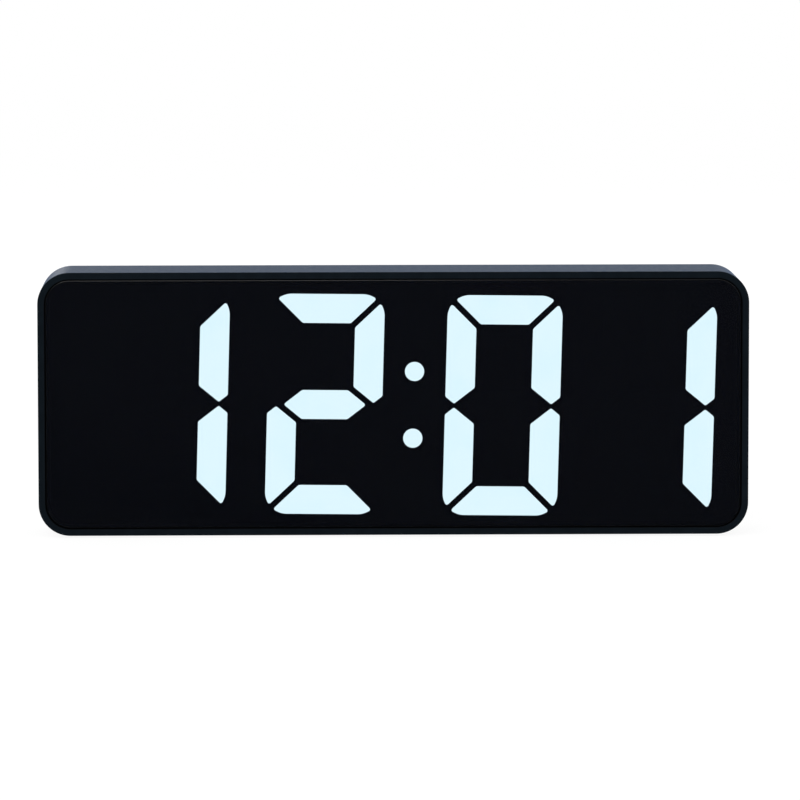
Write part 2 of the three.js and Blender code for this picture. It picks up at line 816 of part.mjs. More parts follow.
function rearCover() {
  const cover = roundedOutline(lensWidth, lensHeight, innerCorner - sideGap);
  const ribFront = coverFront - coverRibHeight;
  const ribInner = roundedOutline(
    lensWidth - 2 * coverRibWidth, lensHeight - 2 * coverRibWidth,
    innerCorner - sideGap - coverRibWidth,
  );
  let body = cut(
    pushed(cover, ribFront, caseDepth),
    pushed(ribInner, ribFront - cutOver, coverFront),
  );
  const bay = block(
    -bayOuter, bayOuter, bayFront, coverFront + coverThickness / 2,
    bayRise - bayWall, bayTop + bayWall,
  );
  const headBack = onBoard + screwHeadHeight + throughGap;
  const headReliefs = boardBossPlaces.map((place) => (
    pin(screwHeadRadius + throughGap, bayFront - cutOver, headBack, place.x, place.z)
  ));
  body = joined(body, cut(bay, ...headReliefs));
  for (const place of cornerPlaces) {
    const foot = cornerBossBack + stackGap;
    body = joined(body, pin(cornerBossRadius, foot, coverFront + stackGap, place.x, place.z));
  }
  for (const right of sides) {
    const post = pin(keyPostRadius, keyBoardBack, coverFront + stackGap, right * keyPostX, keyMiddle);
    body = joined(body, post);
  }
  body = cut(
    body,
    block(-bayLength / 2, bayLength / 2, bayDeep, caseDepth + cutOver, bayRise, bayTop),
    block(
      -bayLength / 2 - rebateWidth, bayLength / 2 + rebateWidth, doorFront - stackGap,
      caseDepth + cutOver, bayRise, bayTop + rebateWidth,
    ),
  );
  for (const right of sides) {
    const half = tongueWidth / 2 + pieceGap;
    const x = right * tonguePlace;
    const sweep = Math.hypot(tongueReach + runGap, caseDepth - tongueFront) + pieceGap;
    body = cut(body, block(
      x - half, x + half, caseDepth - sweep, coverFront, bayRise - bayWall - cutOver, bayRise + cutOver,
    ));
    const row = right > 0 ? rowHeights[cellCount - 1] : rowHeights[0];
    const inside = bayLength / 2 - cutOver;
    const outside = bayOuter + cutOver;
    body = cut(body, block(
      Math.min(right * inside, right * outside), Math.max(right * inside, right * outside),
      tailLow - sideGap, tailLow + tailWidth + sideGap,
      row - plateThickness / 2 - sideGap, row + plateThickness / 2 + sideGap,
    ));
    body = cut(body, pin(
      screwRadius + pilotGap, keyBoardBack - cutOver, coverFront - cutOver, right * keyPostX, keyMiddle,
    ));
  }
  for (const place of cornerPlaces) {
    body = cut(
      body,
      pin(screwHeadRadius + throughGap, postWell, caseDepth + cutOver, place.x, place.z),
      pin(screwRadius + throughGap, cornerBossBack, caseDepth, place.x, place.z),
    );
  }
  const through = [coverFront - cutOver, caseDepth + cutOver];
  const keyHole = pushed(pill(keyWidth, keyHeight, runGap), ...through, smallSteps);
  for (const x of keyPlaces) body = cut(body, keyHole.translate([x, 0, keyMiddle]));
  const port = pushed(pill(socketWidth, socketHeight, portGap), ...through, smallSteps);
  body = cut(body, port.translate([socketPlace[0], 0, socketPlace[1]]));
  const soundHole = pin(soundHoleRadius, ...through, 0, 0, holeFaces);
  body = cut(body, soundHole.translate([buzzerPlace[0], 0, buzzerPlace[1]]));
  for (let i = 0; i < soundHoleRing; i += 1) {
    const angle = 2 * Math.PI * i / soundHoleRing;
    const x = buzzerPlace[0] + soundHolePitch * Math.cos(angle);
    const z = buzzerPlace[1] + soundHolePitch * Math.sin(angle);
    body = cut(body, soundHole.translate([x, 0, z]));
  }
  return cut(body, latchScoop());
}

function latchScoop() {
  const bowl = pin(scoopRadius, caseDepth - scoopDepth, caseDepth + cutOver, 0, 0, 2 * pinFaces);
  return bowl.translate([0, 0, bayTop + rebateWidth]);
}

// Battery cover: two tongues at its foot hook behind the rear cover, a finger latches its top
function batteryCover() {
  const half = bayLength / 2 + rebateWidth - sideGap;
  const low = bayRise + runGap;
  const high = bayTop + rebateWidth - sideGap;
  let door = block(-half, half, doorFront, caseDepth, low, high);
  for (const right of sides) {
    const x = right * tonguePlace;
    const side = tongueWidth / 2;
    door = joined(
      door,
      block(x - side, x + side, tongueFront, doorFront + stackGap, low, bayRise + tongueNeck),
      block(
        x - side, x + side, tongueFront, tongueFront + tongueThickness,
        bayRise - tongueReach, bayRise + tongueNeck,
      ),
    );
    const slotMiddle = right * (latchWidth + latchSlot) / 2;
    door = cut(door, slab(
      slotMiddle, high, latchSlot, 2 * latchLength, doorFront - cutOver, caseDepth + cutOver,
    ));
  }
  for (let i = 0; i < gripGrooves; i += 1) {
    const z = high - latchLength / 3 - i * gripPitch;
    const arm = latchWidth / 2 - latchSlot;
    door = cut(door, block(
      -arm, arm, caseDepth - gripDepth, caseDepth + cutOver, z - gripWidth / 2, z + gripWidth / 2,
    ));
  }
  return door;
}

// Cells lie along X, the outer two with the nub to the right and the middle one turned round
function cell() {
  const profile = [
    [0, 0], [cellRadius - cellRound, 0], [cellRadius, cellRound],
    [cellRadius, cellLength - cellRound], [cellRadius - cellRound, cellLength],
    [nubRadius, cellLength], [nubRadius, cellLength + nubLength], [0, cellLength + nubLength],
  ];
  const can = new THREE.LatheGeometry(profile.map(([r, y]) => new THREE.Vector2(r, y)), cellFaces);
  return can.rotateZ(-Math.PI / 2).translate(-(cellLength + nubLength), 0, 0);
}

function contactPlate(lowRow, highRow) {
  const low = rowHeights[lowRow] - plateWidth / 2;
  const high = rowHeights[highRow] + plateWidth / 2;
  const near = bayDeep + stackGap;
  return block(plateFace, plateFace + plateThickness, near, near + plateHeight, low, high);
}

// A terminal plate's solder tail runs out through the bay's end wall
function terminalPlate(row) {
  const z = rowHeights[row];
  const half = plateThickness / 2;
  return joined(contactPlate(row, row), block(
    plateFace + half, bayOuter + tailReach - sideGap,
    tailLow, tailLow + tailWidth, z - half, z + half,
  ));
}

// Spring centreline along X from its plate at 0 to the cell, narrowing on the way
function springPoints() {
  const run = springLength - 2 * springWire;
  const turns = springCurls * springSteps;
  const points = [[0, springBase, 0]];
  for (let i = 0; i <= turns; i += 1) {
    const angle = 2 * Math.PI * i / springSteps;
    const radius = springBase + (springTip - springBase) * i / turns;
    const x = springWire + run * i / turns;
    points.push([x, radius * Math.cos(angle), radius * Math.sin(angle)]);
  }
  const last = points[points.length - 1];
  points.push([springLength, last[1], last[2]]);
  return points.map((point) => new THREE.Vector3(...point));
}

// A tube through points, one ring of faces at each, closed by a fan at both ends
function wireTube(points, radius, faces) {
  const positions = [];
  const index = [];
  const before = new THREE.Vector3();
  let across = new THREE.Vector3();
  points.forEach((point, i) => {
    const back = i > 0 ? point.clone().sub(points[i - 1]).normalize() : null;
    const ahead = i < points.length - 1 ? points[i + 1].clone().sub(point).normalize() : null;
    const along = (back ?? ahead).clone().add(ahead ?? back).normalize();
    if (i === 0) {
      across = new THREE.Vector3(0, 1, 0).cross(along).normalize();
    } else {
      across.applyQuaternion(new THREE.Quaternion().setFromUnitVectors(before, along));
    }
    before.copy(along);
    const up = along.clone().cross(across);
    for (let j = 0; j < faces; j += 1) {
      const angle = 2 * Math.PI * j / faces;
      const spot = point.clone()
        .addScaledVector(across, radius * Math.cos(angle))
        .addScaledVector(up, radius * Math.sin(angle));
      positions.push(...spot.toArray());
    }
  });
  const rings = points.length;
  for (let i = 0; i < rings - 1; i += 1) {
    for (let j = 0; j < faces; j += 1) {
      const next = (j + 1) % faces;
      const [a, b] = [i * faces + j, i * faces + next];
      index.push(a, b, b + faces, a, b + faces, a + faces);
    }
  }
  for (let j = 1; j < faces - 1; j += 1) {
    index.push(0, j + 1, j);
    const base = (rings - 1) * faces;
    index.push(base, base + j, base + j + 1);
  }
  const geometry = new THREE.BufferGeometry();
  geometry.setAttribute('position', new THREE.Float32BufferAttribute(positions, 3));
  geometry.setIndex(index);
  geometry.computeVertexNormals();
  return geometry;
}

function leastGap(points, wire) {
  let least = Infinity;
  points.forEach((point, i) => {
    points.slice(i + springSteps / 2).forEach((other) => {
      least = Math.min(least, point.distanceTo(other) - wire);
    });
  });
  return least;
}

function leadTube() {
  const drop = leadDepth - onBoard;
  const bend = new THREE.CubicBezierCurve3(
    new THREE.Vector3(wireStraight, 0, 0),
    new THREE.Vector3(wireReach, 0, 0),
    new THREE.Vector3(wireReach, -drop / 2, wireClimb),
    new THREE.Vector3(wireReach, wireStraight - drop, wireClimb),
  );
  const route = [
    new THREE.Vector3(0, 0, 0),
    ...bend.getPoints(wireSteps),
    new THREE.Vector3(wireReach, -drop, wireClimb),
  ];
  return wireTube(route, wireRadius, wireSides);
}

// The flat cable leaves the key board, turns down and lands on the main board
function ribbon() {
  const near = keyBoardFront - stackGap;
  const low = onBoard;
  const curve = new THREE.CubicBezierCurve(
    new THREE.Vector2(0, near),
    new THREE.Vector2(0, (near + low) / 2),
    new THREE.Vector2(-ribbonShift, (near + low) / 2),
    new THREE.Vector2(-ribbonShift, low),
  );
  const steps = 8;
  const half = ribbonThickness / 2;
  const rails = [1, -1].map((side) => Array.from({ length: steps + 1 }, (_, i) => {
    const point = curve.getPoint(i / steps);
    const along = curve.getTangent(i / steps);
    return [point.x - side * half * along.y, point.y + side * half * along.x];
  }));
  const ring = anticlockwise([...rails[0], ...rails[1].reverse()]);
  const strip = new THREE.ExtrudeGeometry(shapeOf(ring), { depth: ribbonWidth, bevelEnabled: false });
  const turn = new THREE.Matrix4().set(0, 0, 1, 0, 0, 1, 0, 0, -1, 0, 0, 0, 0, 0, 0, 1);
  return solidOf(strip.applyMatrix4(turn));
}

function keyBoard() {
  const half = keyPostX + keyPostRadius;
  let board = slab(0, 0, 2 * half, keyBoardHeight, 0, keyBoardThickness);
  for (const right of sides) {
    board = cut(board, pin(
      screwRadius + throughGap, -cutOver, keyBoardThickness + cutOver, right * keyPostX, 0,
    ));
  }
  return board;
}

// A key: cap with rounded edges in front of the flange that keeps it in the cover
function key() {
  const capTop = caseDepth + keyProud;
  return joined(
    pushed(pill(keyWidth, keyHeight, flangeBorder), flangeFront, flangeBack, smallSteps),
    pushedRound(pill(keyWidth, keyHeight), flangeFront, capTop, keyEdge, smallSteps, smallSteps),
  );
}

function keySwitch() {
  const hole = plungerRadius + runGap;
  const floor = switchBack - plungerSunk - keyTravel - runGap;
  return cut(
    slab(0, 0, switchWidth, switchWidth, switchFront, switchBack),
    pin(hole, floor, switchBack + cutOver, 0, 0),
  );
}

// The pieces in their places

piece('housing', housing(), casePlastic);
piece('display_lens', lens(), smokedGlass);
piece('lens_adhesive', adhesive(), partBlack);
piece('segment_mask', mask(), blackSheet);
digitPlates.forEach((plate, i) => {
  piece(`digit_${i + 1}_diffuser`, diffuser(plate, digitRings[i]), litPlastic);
});
piece('colon_diffuser', diffuser(colonPlate, colonRings), litPlastic);
piece('indicator_diffuser', diffuser(indicatorPlate, indicatorRings), litPlastic);
piece('reflector_block', reflector(), whitePlastic);
piece('main_board', mainBoard(), boardResin);
piece('clock_chip', clockChip(), partBlack, [chipPlace[0], onBoard, chipPlace[1]]);
piece('crystal', crystal(), steel, [crystalPlace[0], onBoard, crystalPlace[1]]);
piece('smoothing_capacitor', capacitor(), partBlack, [capacitorPlace[0], onBoard, capacitorPlace[1]]);
piece('buzzer', buzzer(), partBlack, [buzzerPlace[0], onBoard, buzzerPlace[1]]);
piece('usb_socket', socket(), steel, [socketPlace[0], onBoard, socketPlace[1]]);
piece('rear_cover', rearCover(), casePlastic);
piece('battery_cover', batteryCover(), casePlastic);
piece('key_board', keyBoard(), boardResin, [0, keyBoardFront, keyMiddle]);
piece('ribbon_cable', ribbon(), greySleeve, [ribbonPlace - ribbonWidth / 2, 0, keyMiddle]);

const boardScrew = screw(boardBack - ledgeBack - cutOver);
boardBossPlaces.forEach((place, i) => {
  piece(`board_screw_${i + 1}`, boardScrew, steel, [place.x, onBoard, place.z]);
});
const coverScrew = screw(postWell + stackGap - cornerBossBack + screwBite);
cornerPlaces.forEach((place, i) => {
  piece(`cover_screw_${i + 1}`, coverScrew, steel, [place.x, postWell + stackGap, place.z]);
});
const keyScrew = screw(keyBoardThickness + screwBite);
sides.forEach((right, i) => {
  const place = [right * keyPostX, keyBoardFront - stackGap, keyMiddle];
  piece(`key_board_screw_${i + 1}`, keyScrew, steel, place).rotation.set(Math.PI, 0, 0);
});

const keyNames = ['mode_key', 'set_key', 'up_key', 'down_key'];
const keyShape = key();
const switchShape = keySwitch();
const plunger = pin(plungerRadius, switchBack - plungerSunk, plungerBack, 0, 0);
keyPlaces.forEach((x, i) => {
  piece(keyNames[i], keyShape, keyPlastic, [x, 0, keyMiddle]);
  piece(`switch_${i + 1}`, switchShape, partBlack, [x, 0, keyMiddle]);
  piece(`switch_plunger_${i + 1}`, plunger, whitePlastic, [x, 0, keyMiddle]);
});

const cellShape = cell();
const spring = springPoints();
const springTube = wireTube(spring, springWire / 2, springSides);
rowHeights.forEach((z, i) => {
  const turned = i % 2 === 1;
  const nubX = plateFace - stackGap;
  const cellPlace = [turned ? -nubX : nubX, cellAxis, z];
  const springPlace = [turned ? nubX : -nubX, cellAxis, z];
  const cellMesh = piece(`battery_cell_${i + 1}`, cellShape, copperSkin, cellPlace);
  const springMesh = piece(`contact_spring_${i + 1}`, springTube, steel, springPlace);
  if (turned) {
    cellMesh.rotation.set(0, 0, Math.PI);
    springMesh.rotation.set(0, 0, Math.PI);
  }
});
console.log('least gap of a contact spring to itself', leastGap(spring, springWire).toFixed(2), 'mm');

piece('terminal_positive', terminalPlate(cellCount - 1), steel);
piece('contact_bridge_right', contactPlate(0, 1), steel);
piece('terminal_negative', terminalPlate(0).mirror([1, 0, 0]), steel);
piece('contact_bridge_left', contactPlate(1, 2).mirror([1, 0, 0]), steel);

const lead = leadTube();
const leadX = bayOuter + tailReach;
const leadZ = [rowHeights[cellCount - 1], rowHeights[0]];
piece('wire_positive', lead, redSleeve, [leadX, leadDepth, leadZ[0]]);
piece('wire_negative', lead, greySleeve, [-leadX, leadDepth, leadZ[1]]).rotation.set(0, Math.PI, 0);

for (const [i, name] of ['foot_pad_left', 'foot_pad_right'].entries()) {
  const place = [sides[i] * footPlace, caseDepth / 2, footSunk - footThickness];
  piece(name, footShape(0, footThickness), softRubber, place);
}

export default clock;
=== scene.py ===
import math

import bmesh
import bpy
from mathutils import Matrix, Vector


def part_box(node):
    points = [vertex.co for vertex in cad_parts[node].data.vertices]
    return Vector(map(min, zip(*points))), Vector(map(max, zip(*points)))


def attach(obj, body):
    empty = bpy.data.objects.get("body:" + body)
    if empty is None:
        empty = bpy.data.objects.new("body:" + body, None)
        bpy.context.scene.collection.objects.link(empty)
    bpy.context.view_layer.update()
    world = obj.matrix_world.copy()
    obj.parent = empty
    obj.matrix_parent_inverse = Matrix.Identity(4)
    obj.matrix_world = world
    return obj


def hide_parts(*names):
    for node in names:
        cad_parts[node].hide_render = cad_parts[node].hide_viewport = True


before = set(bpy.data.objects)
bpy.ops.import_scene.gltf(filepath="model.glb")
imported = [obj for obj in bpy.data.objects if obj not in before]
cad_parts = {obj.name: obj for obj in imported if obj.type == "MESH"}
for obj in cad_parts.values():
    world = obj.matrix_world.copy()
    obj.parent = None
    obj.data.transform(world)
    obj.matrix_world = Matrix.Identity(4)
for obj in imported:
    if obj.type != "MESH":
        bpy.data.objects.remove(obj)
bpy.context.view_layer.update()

# A bedside alarm clock with large seven-segment digits behind a smoked front lens.
# Shapes are drawn in millimetres as (x, depth, z): depth runs back from the front edge of the
# case and z up from its underside. TO_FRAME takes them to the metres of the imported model.
MM = 0.001

case_low, case_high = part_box("housing")
TO_FRAME = Matrix.Translation((0, case_low.y, case_low.z)) @ Matrix.Scale(MM, 4)
CASE_WIDTH = (case_high.x - case_low.x) / MM
CASE_DEPTH = (case_high.y - case_low.y) / MM
CASE_HEIGHT = (case_high.z - case_low.z) / MM
MIDDLE = CASE_HEIGHT / 2
SIDES = (-1, 1)


# The box of a node: its ends along the depth, its middle, its ends along z, and its size

def depths(node):
    low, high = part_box(node)
    return (low.y - case_low.y) / MM, (high.y - case_low.y) / MM


def centre(node):
    low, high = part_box(node)
    return (low.x + high.x) / 2 / MM, ((low.z + high.z) / 2 - case_low.z) / MM


def levels(node):
    low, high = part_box(node)
    return (low.z - case_low.z) / MM, (high.z - case_low.z) / MM


def span(node):
    low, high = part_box(node)
    return (high.x - low.x) / MM, (high.z - low.z) / MM


# Gaps between pieces, and how far a cutting tool passes what it cuts
SIDE_GAP = 0.15
RUN_GAP = 0.25
PIECE_GAP = 0.3
STACK_GAP = 0.05
CUT_OVER = 1.0

# How finely curves are divided
CORNER_STEPS = 24
ARC_STEPS = 12
ROUND_STEPS = 5
SMALL_STEPS = 4
LIP_STEPS = 3
FILLET_STEPS = 5
PIN_FACES = 32
HOLE_FACES = 16
DOT_FACES = 48

# How meshes are joined and shaded
MERGE_DISTANCE = 1e-5
BEVEL_ANGLE = math.radians(50.0)
SMOOTH_ANGLE = math.radians(35.0)
KEY_SMOOTH_ANGLE = math.radians(40.0)
WIRE_SMOOTH_ANGLE = math.radians(60.0)

# Case
CASE_CORNER = 7.4
CASE_WALL = 1.6
FRONT_ROUND = 0.22
REAR_ROUND = 0.5
LIP_ROUND = 0.1
LEDGE_WIDTH = 1.0
LEDGE_THICKNESS = 1.5
LEDGE_FRONT = depths("segment_mask")[0]
LEDGE_BACK = LEDGE_FRONT + LEDGE_THICKNESS

INNER_WIDTH = CASE_WIDTH - 2 * CASE_WALL
INNER_HEIGHT = CASE_HEIGHT - 2 * CASE_WALL
COVER_INSET = CASE_WALL + SIDE_GAP

# Fasteners, the bosses that take them, and the feet
SCREW_RADIUS = 0.85
SCREW_HEAD_RADIUS = 1.55
SCREW_HEAD_HEIGHT = 1.3
THROUGH_GAP = 0.2
PILOT_GAP = 0.1
RIB_WIDTH = 2.4
BOARD_BOSS_RADIUS = 2.3
CORNER_BOSS_RADIUS = 2.4
CORNER_BOSS_RISE = 0.5
BOSS_FRONT = LEDGE_BACK - STACK_GAP
CORNER_BOSS_BACK = depths("main_board")[1] + CORNER_BOSS_RISE
BOARD_BOSS_BACK = depths("reflector_block")[1]
CORNER_SCREWS = [centre(f"cover_screw_{i}") for i in (1, 2, 3, 4)]
BOARD_SCREWS = [centre(f"board_screw_{i}") for i in (1, 2, 3, 4)]
FEET = ("foot_pad_left", "foot_pad_right")
FOOT_CORNER = 1.5
FOOT_STEPS = 8
FOOT_EDGE = 0.2
FOOT_EDGE_STEPS = 3

# Lens
LENS_FRONT, LENS_BACK = depths("display_lens")
LENS_BEVEL = 0.25
FACING_SHARE = 0.995  # a face that looks forward less squarely than this is part of an edge
POLISHED_SHARE = 0.1  # a face of the edge that looks up more than this is polished

# Row of digits
LEFT_MARGIN = 15.55
RIGHT_MARGIN = 6.2
TOP_MARGIN = 3.8
BOTTOM_MARGIN = 2.77
DIGIT_GAP = 9.08
COLON_GAP = 14.5
ROW_TILT = math.radians(0.62)
DIGIT_SLANT = math.radians(0.95)
STROKE = 6.9
SEGMENT_GAP = 1.3
DIGIT_CORNER = 5.2
MIDDLE_ANGLE = math.radians(38.5)
MIDDLE_POINT = 2.7
ELBOW_HEIGHT = 2.06
MIDDLE_DROP = 0.1  # the middle stroke and the elbows lie this far below a digit's middle
MITRE_TURN = math.radians(1.3)  # how far the gap at a digit's corner turns from the diagonal
SHARP_TURN = math.pi / 8
TIP_FILLET = 0.65
BLUNT_FILLET = 0.35
LIGHT_INSET = 0.06  # bright shapes spread this far past their edge in a picture
COLON_DIAMETER = 4.6
COLON_SPACING = 15.6
INDICATOR_DIAMETER = 2.0
INDICATOR_SPACING = 13.0
DIFFUSER_BORDER = 1.2
DIFFUSER_EDGE = 0.3

ROW_X = (LEFT_MARGIN - RIGHT_MARGIN) / 2
DIGIT_WIDTH = (INNER_WIDTH - LEFT_MARGIN - RIGHT_MARGIN - 2 * DIGIT_GAP - COLON_GAP) / 4
DIGIT_HEIGHT = INNER_HEIGHT - TOP_MARGIN - BOTTOM_MARGIN
ROW_Z = CASE_WALL + BOTTOM_MARGIN + DIGIT_HEIGHT / 2
DIGIT_PLACES = (
    -1.5 * DIGIT_WIDTH - DIGIT_GAP - COLON_GAP / 2,
    -0.5 * DIGIT_WIDTH - COLON_GAP / 2,
    0.5 * DIGIT_WIDTH + COLON_GAP / 2,
    1.5 * DIGIT_WIDTH + DIGIT_GAP + COLON_GAP / 2,
)
INDICATOR_X = LEFT_MARGIN / 2 - INNER_WIDTH / 2
SEGMENT_FRONT, PLATE_BACK = depths("digit_1_diffuser")
PLATE_FRONT = depths("reflector_block")[0]

# The time shown, as the strokes that are lit in each digit
LIT_STROKES = ("bc", "abged", "abcdef", "bc")


# Outlines in (x, z)

def arc(middle, radius, start, end, steps):
    angles = [start + (end - start) * i / steps for i in range(steps + 1)]
    return [(middle[0] + radius * math.cos(a), middle[1] + radius * math.sin(a)) for a in angles]


def circle(radius, x, z, faces=PIN_FACES):
    return arc((x, z), radius, 0, 2 * math.pi, faces)[:-1]


def oblong(left, right, low, high):
    return [(left, low), (right, low), (right, high), (left, high)]


def rounded_ring(width, height, radius, x=0.0, z=0.0, steps=CORNER_STEPS):
    right, up = width / 2 - radius, height / 2 - radius
    quarter = math.pi / 2
    points = []
    for i, (side, top) in enumerate(((1, 1), (-1, 1), (-1, -1), (1, -1))):
        corner = (x + side * right, z + top * up)
        points += arc(corner, radius, i * quarter, (i + 1) * quarter, steps)
    return points


def case_ring(inset):
    """The outline of the case, moved inwards."""
    return rounded_ring(
        CASE_WIDTH - 2 * inset, CASE_HEIGHT - 2 * inset, CASE_CORNER - inset, 0.0, MIDDLE,
    )


def inset_of(x, z):
    """How far a place lies inside the outline of the case."""
    past_side = abs(x) - (CASE_WIDTH / 2 - CASE_CORNER)
    past_top = abs(z - MIDDLE) - (CASE_HEIGHT / 2 - CASE_CORNER)
    past_corner = math.hypot(max(past_side, 0.0), max(past_top, 0.0))
    return CASE_CORNER - past_corner - min(max(past_side, past_top), 0.0)


def pill(width, height, border=0.0, x=0.0, z=0.0, steps=ARC_STEPS):
    """An outline with half-round ends, which two equal corners form at each end."""
    tall = height + 2 * border
    return rounded_ring(width + 2 * border, tall, tall / 2, x, z, steps)


def on_panel(along, up):
    """A place on the front, measured along and across the tilted row of slanted digits."""
    leaning = along + up * math.tan(DIGIT_SLANT)
    return (
        ROW_X + leaning * math.cos(ROW_TILT) + up * math.sin(ROW_TILT),
        ROW_Z - leaning * math.sin(ROW_TILT) + up * math.cos(ROW_TILT),
    )


def anticlockwise(ring):
    following = ring[1:] + ring[:1]
    area = sum(x * next_y - next_x * y for (x, y), (next_x, next_y) in zip(ring, following))
    return ring if area > 0 else ring[::-1]


def digit_strokes():
    """The strokes a to g of a digit about its own middle: a at the top, b and c on the right,
    d at the bottom, e and f on the left, g across the middle."""
    side, top = DIGIT_WIDTH / 2, DIGIT_HEIGHT / 2
    mitre = SEGMENT_GAP / math.sqrt(2)
    spread = math.asin(SEGMENT_GAP / 2 / DIGIT_CORNER)
    corner = (DIGIT_CORNER - side, top - DIGIT_CORNER)
    diagonal = 3 * math.pi / 4
    slope = math.tan(MIDDLE_ANGLE)
    half_notch = SEGMENT_GAP / 2 / math.sin(MIDDLE_ANGLE)
    side_foot = MIDDLE_POINT - half_notch
    heel = (ELBOW_HEIGHT / slope + side_foot) / 2
    outer_top = arc(corner, DIGIT_CORNER, diagonal + MITRE_TURN - spread, math.pi / 2, ARC_STEPS)
    outer_side = arc(corner, DIGIT_CORNER, diagonal + MITRE_TURN + spread, math.pi, ARC_STEPS)
    a = outer_top + flipped(outer_top)[::-1] + [
        (side - STROKE - mitre, top - STROKE), (STROKE + mitre - side, top - STROKE),
    ]
    elbow = [
        (-side, ELBOW_HEIGHT), (heel - side, ELBOW_HEIGHT - heel * slope),
        (STROKE - side, (STROKE - side_foot) * slope),
    ]
    f, raised = (
        outer_side + [(x, y - drop) for x, y in elbow] + [(STROKE - side, top - STROKE - mitre)]
        for drop in (MIDDLE_DROP, -MIDDLE_DROP)
    )
    e = dropped(raised)
    tip = side - MIDDLE_POINT - half_notch
    shoulder = tip - STROKE / 2 / slope
    low, high = -STROKE / 2 - MIDDLE_DROP, STROKE / 2 - MIDDLE_DROP
    g = [
        (-tip, -MIDDLE_DROP), (-shoulder, low), (shoulder, low),
        (tip, -MIDDLE_DROP), (shoulder, high), (-shoulder, high),
    ]
    strokes = (a, flipped(f), flipped(e), dropped(a), e, f, g)
    return {
        name: softened(narrowed(anticlockwise(ring), LIGHT_INSET))
        for name, ring in zip("abcdefg", strokes)
    }


def flipped(ring):
    return [(-x, y) for x, y in ring]


def dropped(ring):
    return [(x, -y) for x, y in ring]


def narrowed(ring, border):
    """Moves every edge of an anticlockwise ring inwards."""
    inward = []
    for i, (x, y) in enumerate(ring):
        next_x, next_y = ring[(i + 1) % len(ring)]
        inward.append(Vector((y - next_y, next_x - x)).normalized())
    result = []
    for i, point in enumerate(ring):
        before, after = inward[i - 1], inward[i]
        moved = Vector(point) + (before + after) * border / (1 + before.dot(after))
        result.append(tuple(moved))
    return result


def fillet_of(turn):
    if turn < SHARP_TURN:
        return 0.0
    return BLUNT_FILLET if turn < math.pi / 2 else TIP_FILLET


def softened(ring):
    """Rounds the sharp corners of a ring, the tips most, and leaves the points along its round
    ones, apart from those that a rounded corner takes in."""
    points = [Vector(point) for point in ring]
    turns = []
    for i, point in enumerate(points):
        before = (point - points[i - 1]).normalized()
        after = (points[(i + 1) % len(points)] - point).normalized()
        turns.append((point, before, after, fillet_of(before.angle(after))))
    corners = [(point, fillet) for point, _, _, fillet in turns if fillet]
    result = []
    for point, before, after, fillet in turns:
        if not fillet:
            if all((point - corner).length > taken for corner, taken in corners):
                result.append(tuple(point))
            continue
        start, end = point - before * fillet, point + after * fillet
        for step in range(FILLET_STEPS + 1):
            share = step / FILLET_STEPS
            first, second = start.lerp(point, share), point.lerp(end, share)
            result.append(tuple(first.lerp(second, share)))
    return result


# Meshes

def lofted(rings, looped=False):
    """Faces between rings of points of equal count, capped at both ends unless looped."""
    mesh = bmesh.new()
    rows = [[mesh.verts.new(point) for point in ring] for ring in rings]
    pairs = list(zip(rows, rows[1:]))
    if looped:
        pairs.append((rows[-1], rows[0]))
    for first, second in pairs:
        for i in range(len(first)):
            j = (i + 1) % len(first)
            mesh.faces.new((first[i], first[j], second[j], second[i]))
    if not looped:
        mesh.faces.new(rows[0][::-1])
        mesh.faces.new(rows[-1])
    bmesh.ops.remove_doubles(mesh, verts=mesh.verts, dist=MERGE_DISTANCE)
    bmesh.ops.recalc_face_normals(mesh, faces=mesh.faces)
    return mesh


def at_depth(ring, depth):
    return [(x, depth, z) for x, z in ring]


def pushed(ring, near, far):
    return lofted([at_depth(ring, near), at_depth(ring, far)])


def swept(outline, profile, looped=False):
    """A solid through rings of an outline, which is a function of one measure. The profile gives
    the measure and the depth of each ring."""
    return lofted([at_depth(outline(measure), depth) for measure, depth in profile], looped)


def pin(radius, near, far, x, z, faces=PIN_FACES):
    return pushed(circle(radius, x, z, faces), near, far)


def block(left, right, near, far, low, high):
    return pushed(oblong(left, right, low, high), near, far)


def quarter_round(radius, steps=ROUND_STEPS):
    """Pairs (in, along) of a rounded edge, from the start of the curve to its end."""
    angles = [math.pi / 2 * i / steps for i in range(steps + 1)]
    return [(radius * (1 - math.cos(a)), radius * (1 - math.sin(a))) for a in angles]


def object_of(mesh, name):
    data = bpy.data.meshes.new(name)
    mesh.to_mesh(data)
    mesh.free()
    made = bpy.data.objects.new(name, data)
    bpy.context.scene.collection.objects.link(made)
    return made


def baked(target):
    """Applies the modifiers of an object."""
    depsgraph = bpy.context.evaluated_depsgraph_get()
    data = bpy.data.meshes.new_from_object(target.evaluated_get(depsgraph))
    target.modifiers.clear()
    old = target.data
    target.data = data
    bpy.data.meshes.remove(old)


def combined(target, operation, tools):
    """Joins tools to an object, or cuts them from it."""
    group = bpy.data.collections.new("tools")
    parts = [object_of(mesh, "tool") for mesh in tools]
    for part in parts:
        group.objects.link(part)
    boolean = target.modifiers.new("combine", "BOOLEAN")
    boolean.operation = operation
    boolean.operand_type = "COLLECTION"
    boolean.collection = group
    boolean.solver = "EXACT"
    baked(target)
    for part in parts:
        data = part.data
        bpy.data.objects.remove(part)
        bpy.data.meshes.remove(data)
    bpy.data.collections.remove(group)


def bevelled(target, width, segments=2):
    bevel = target.modifiers.new("edges", "BEVEL")
    bevel.width = width
    bevel.segments = segments
    bevel.limit_method = "ANGLE"
    bevel.angle_limit = BEVEL_ANGLE
    baked(target)


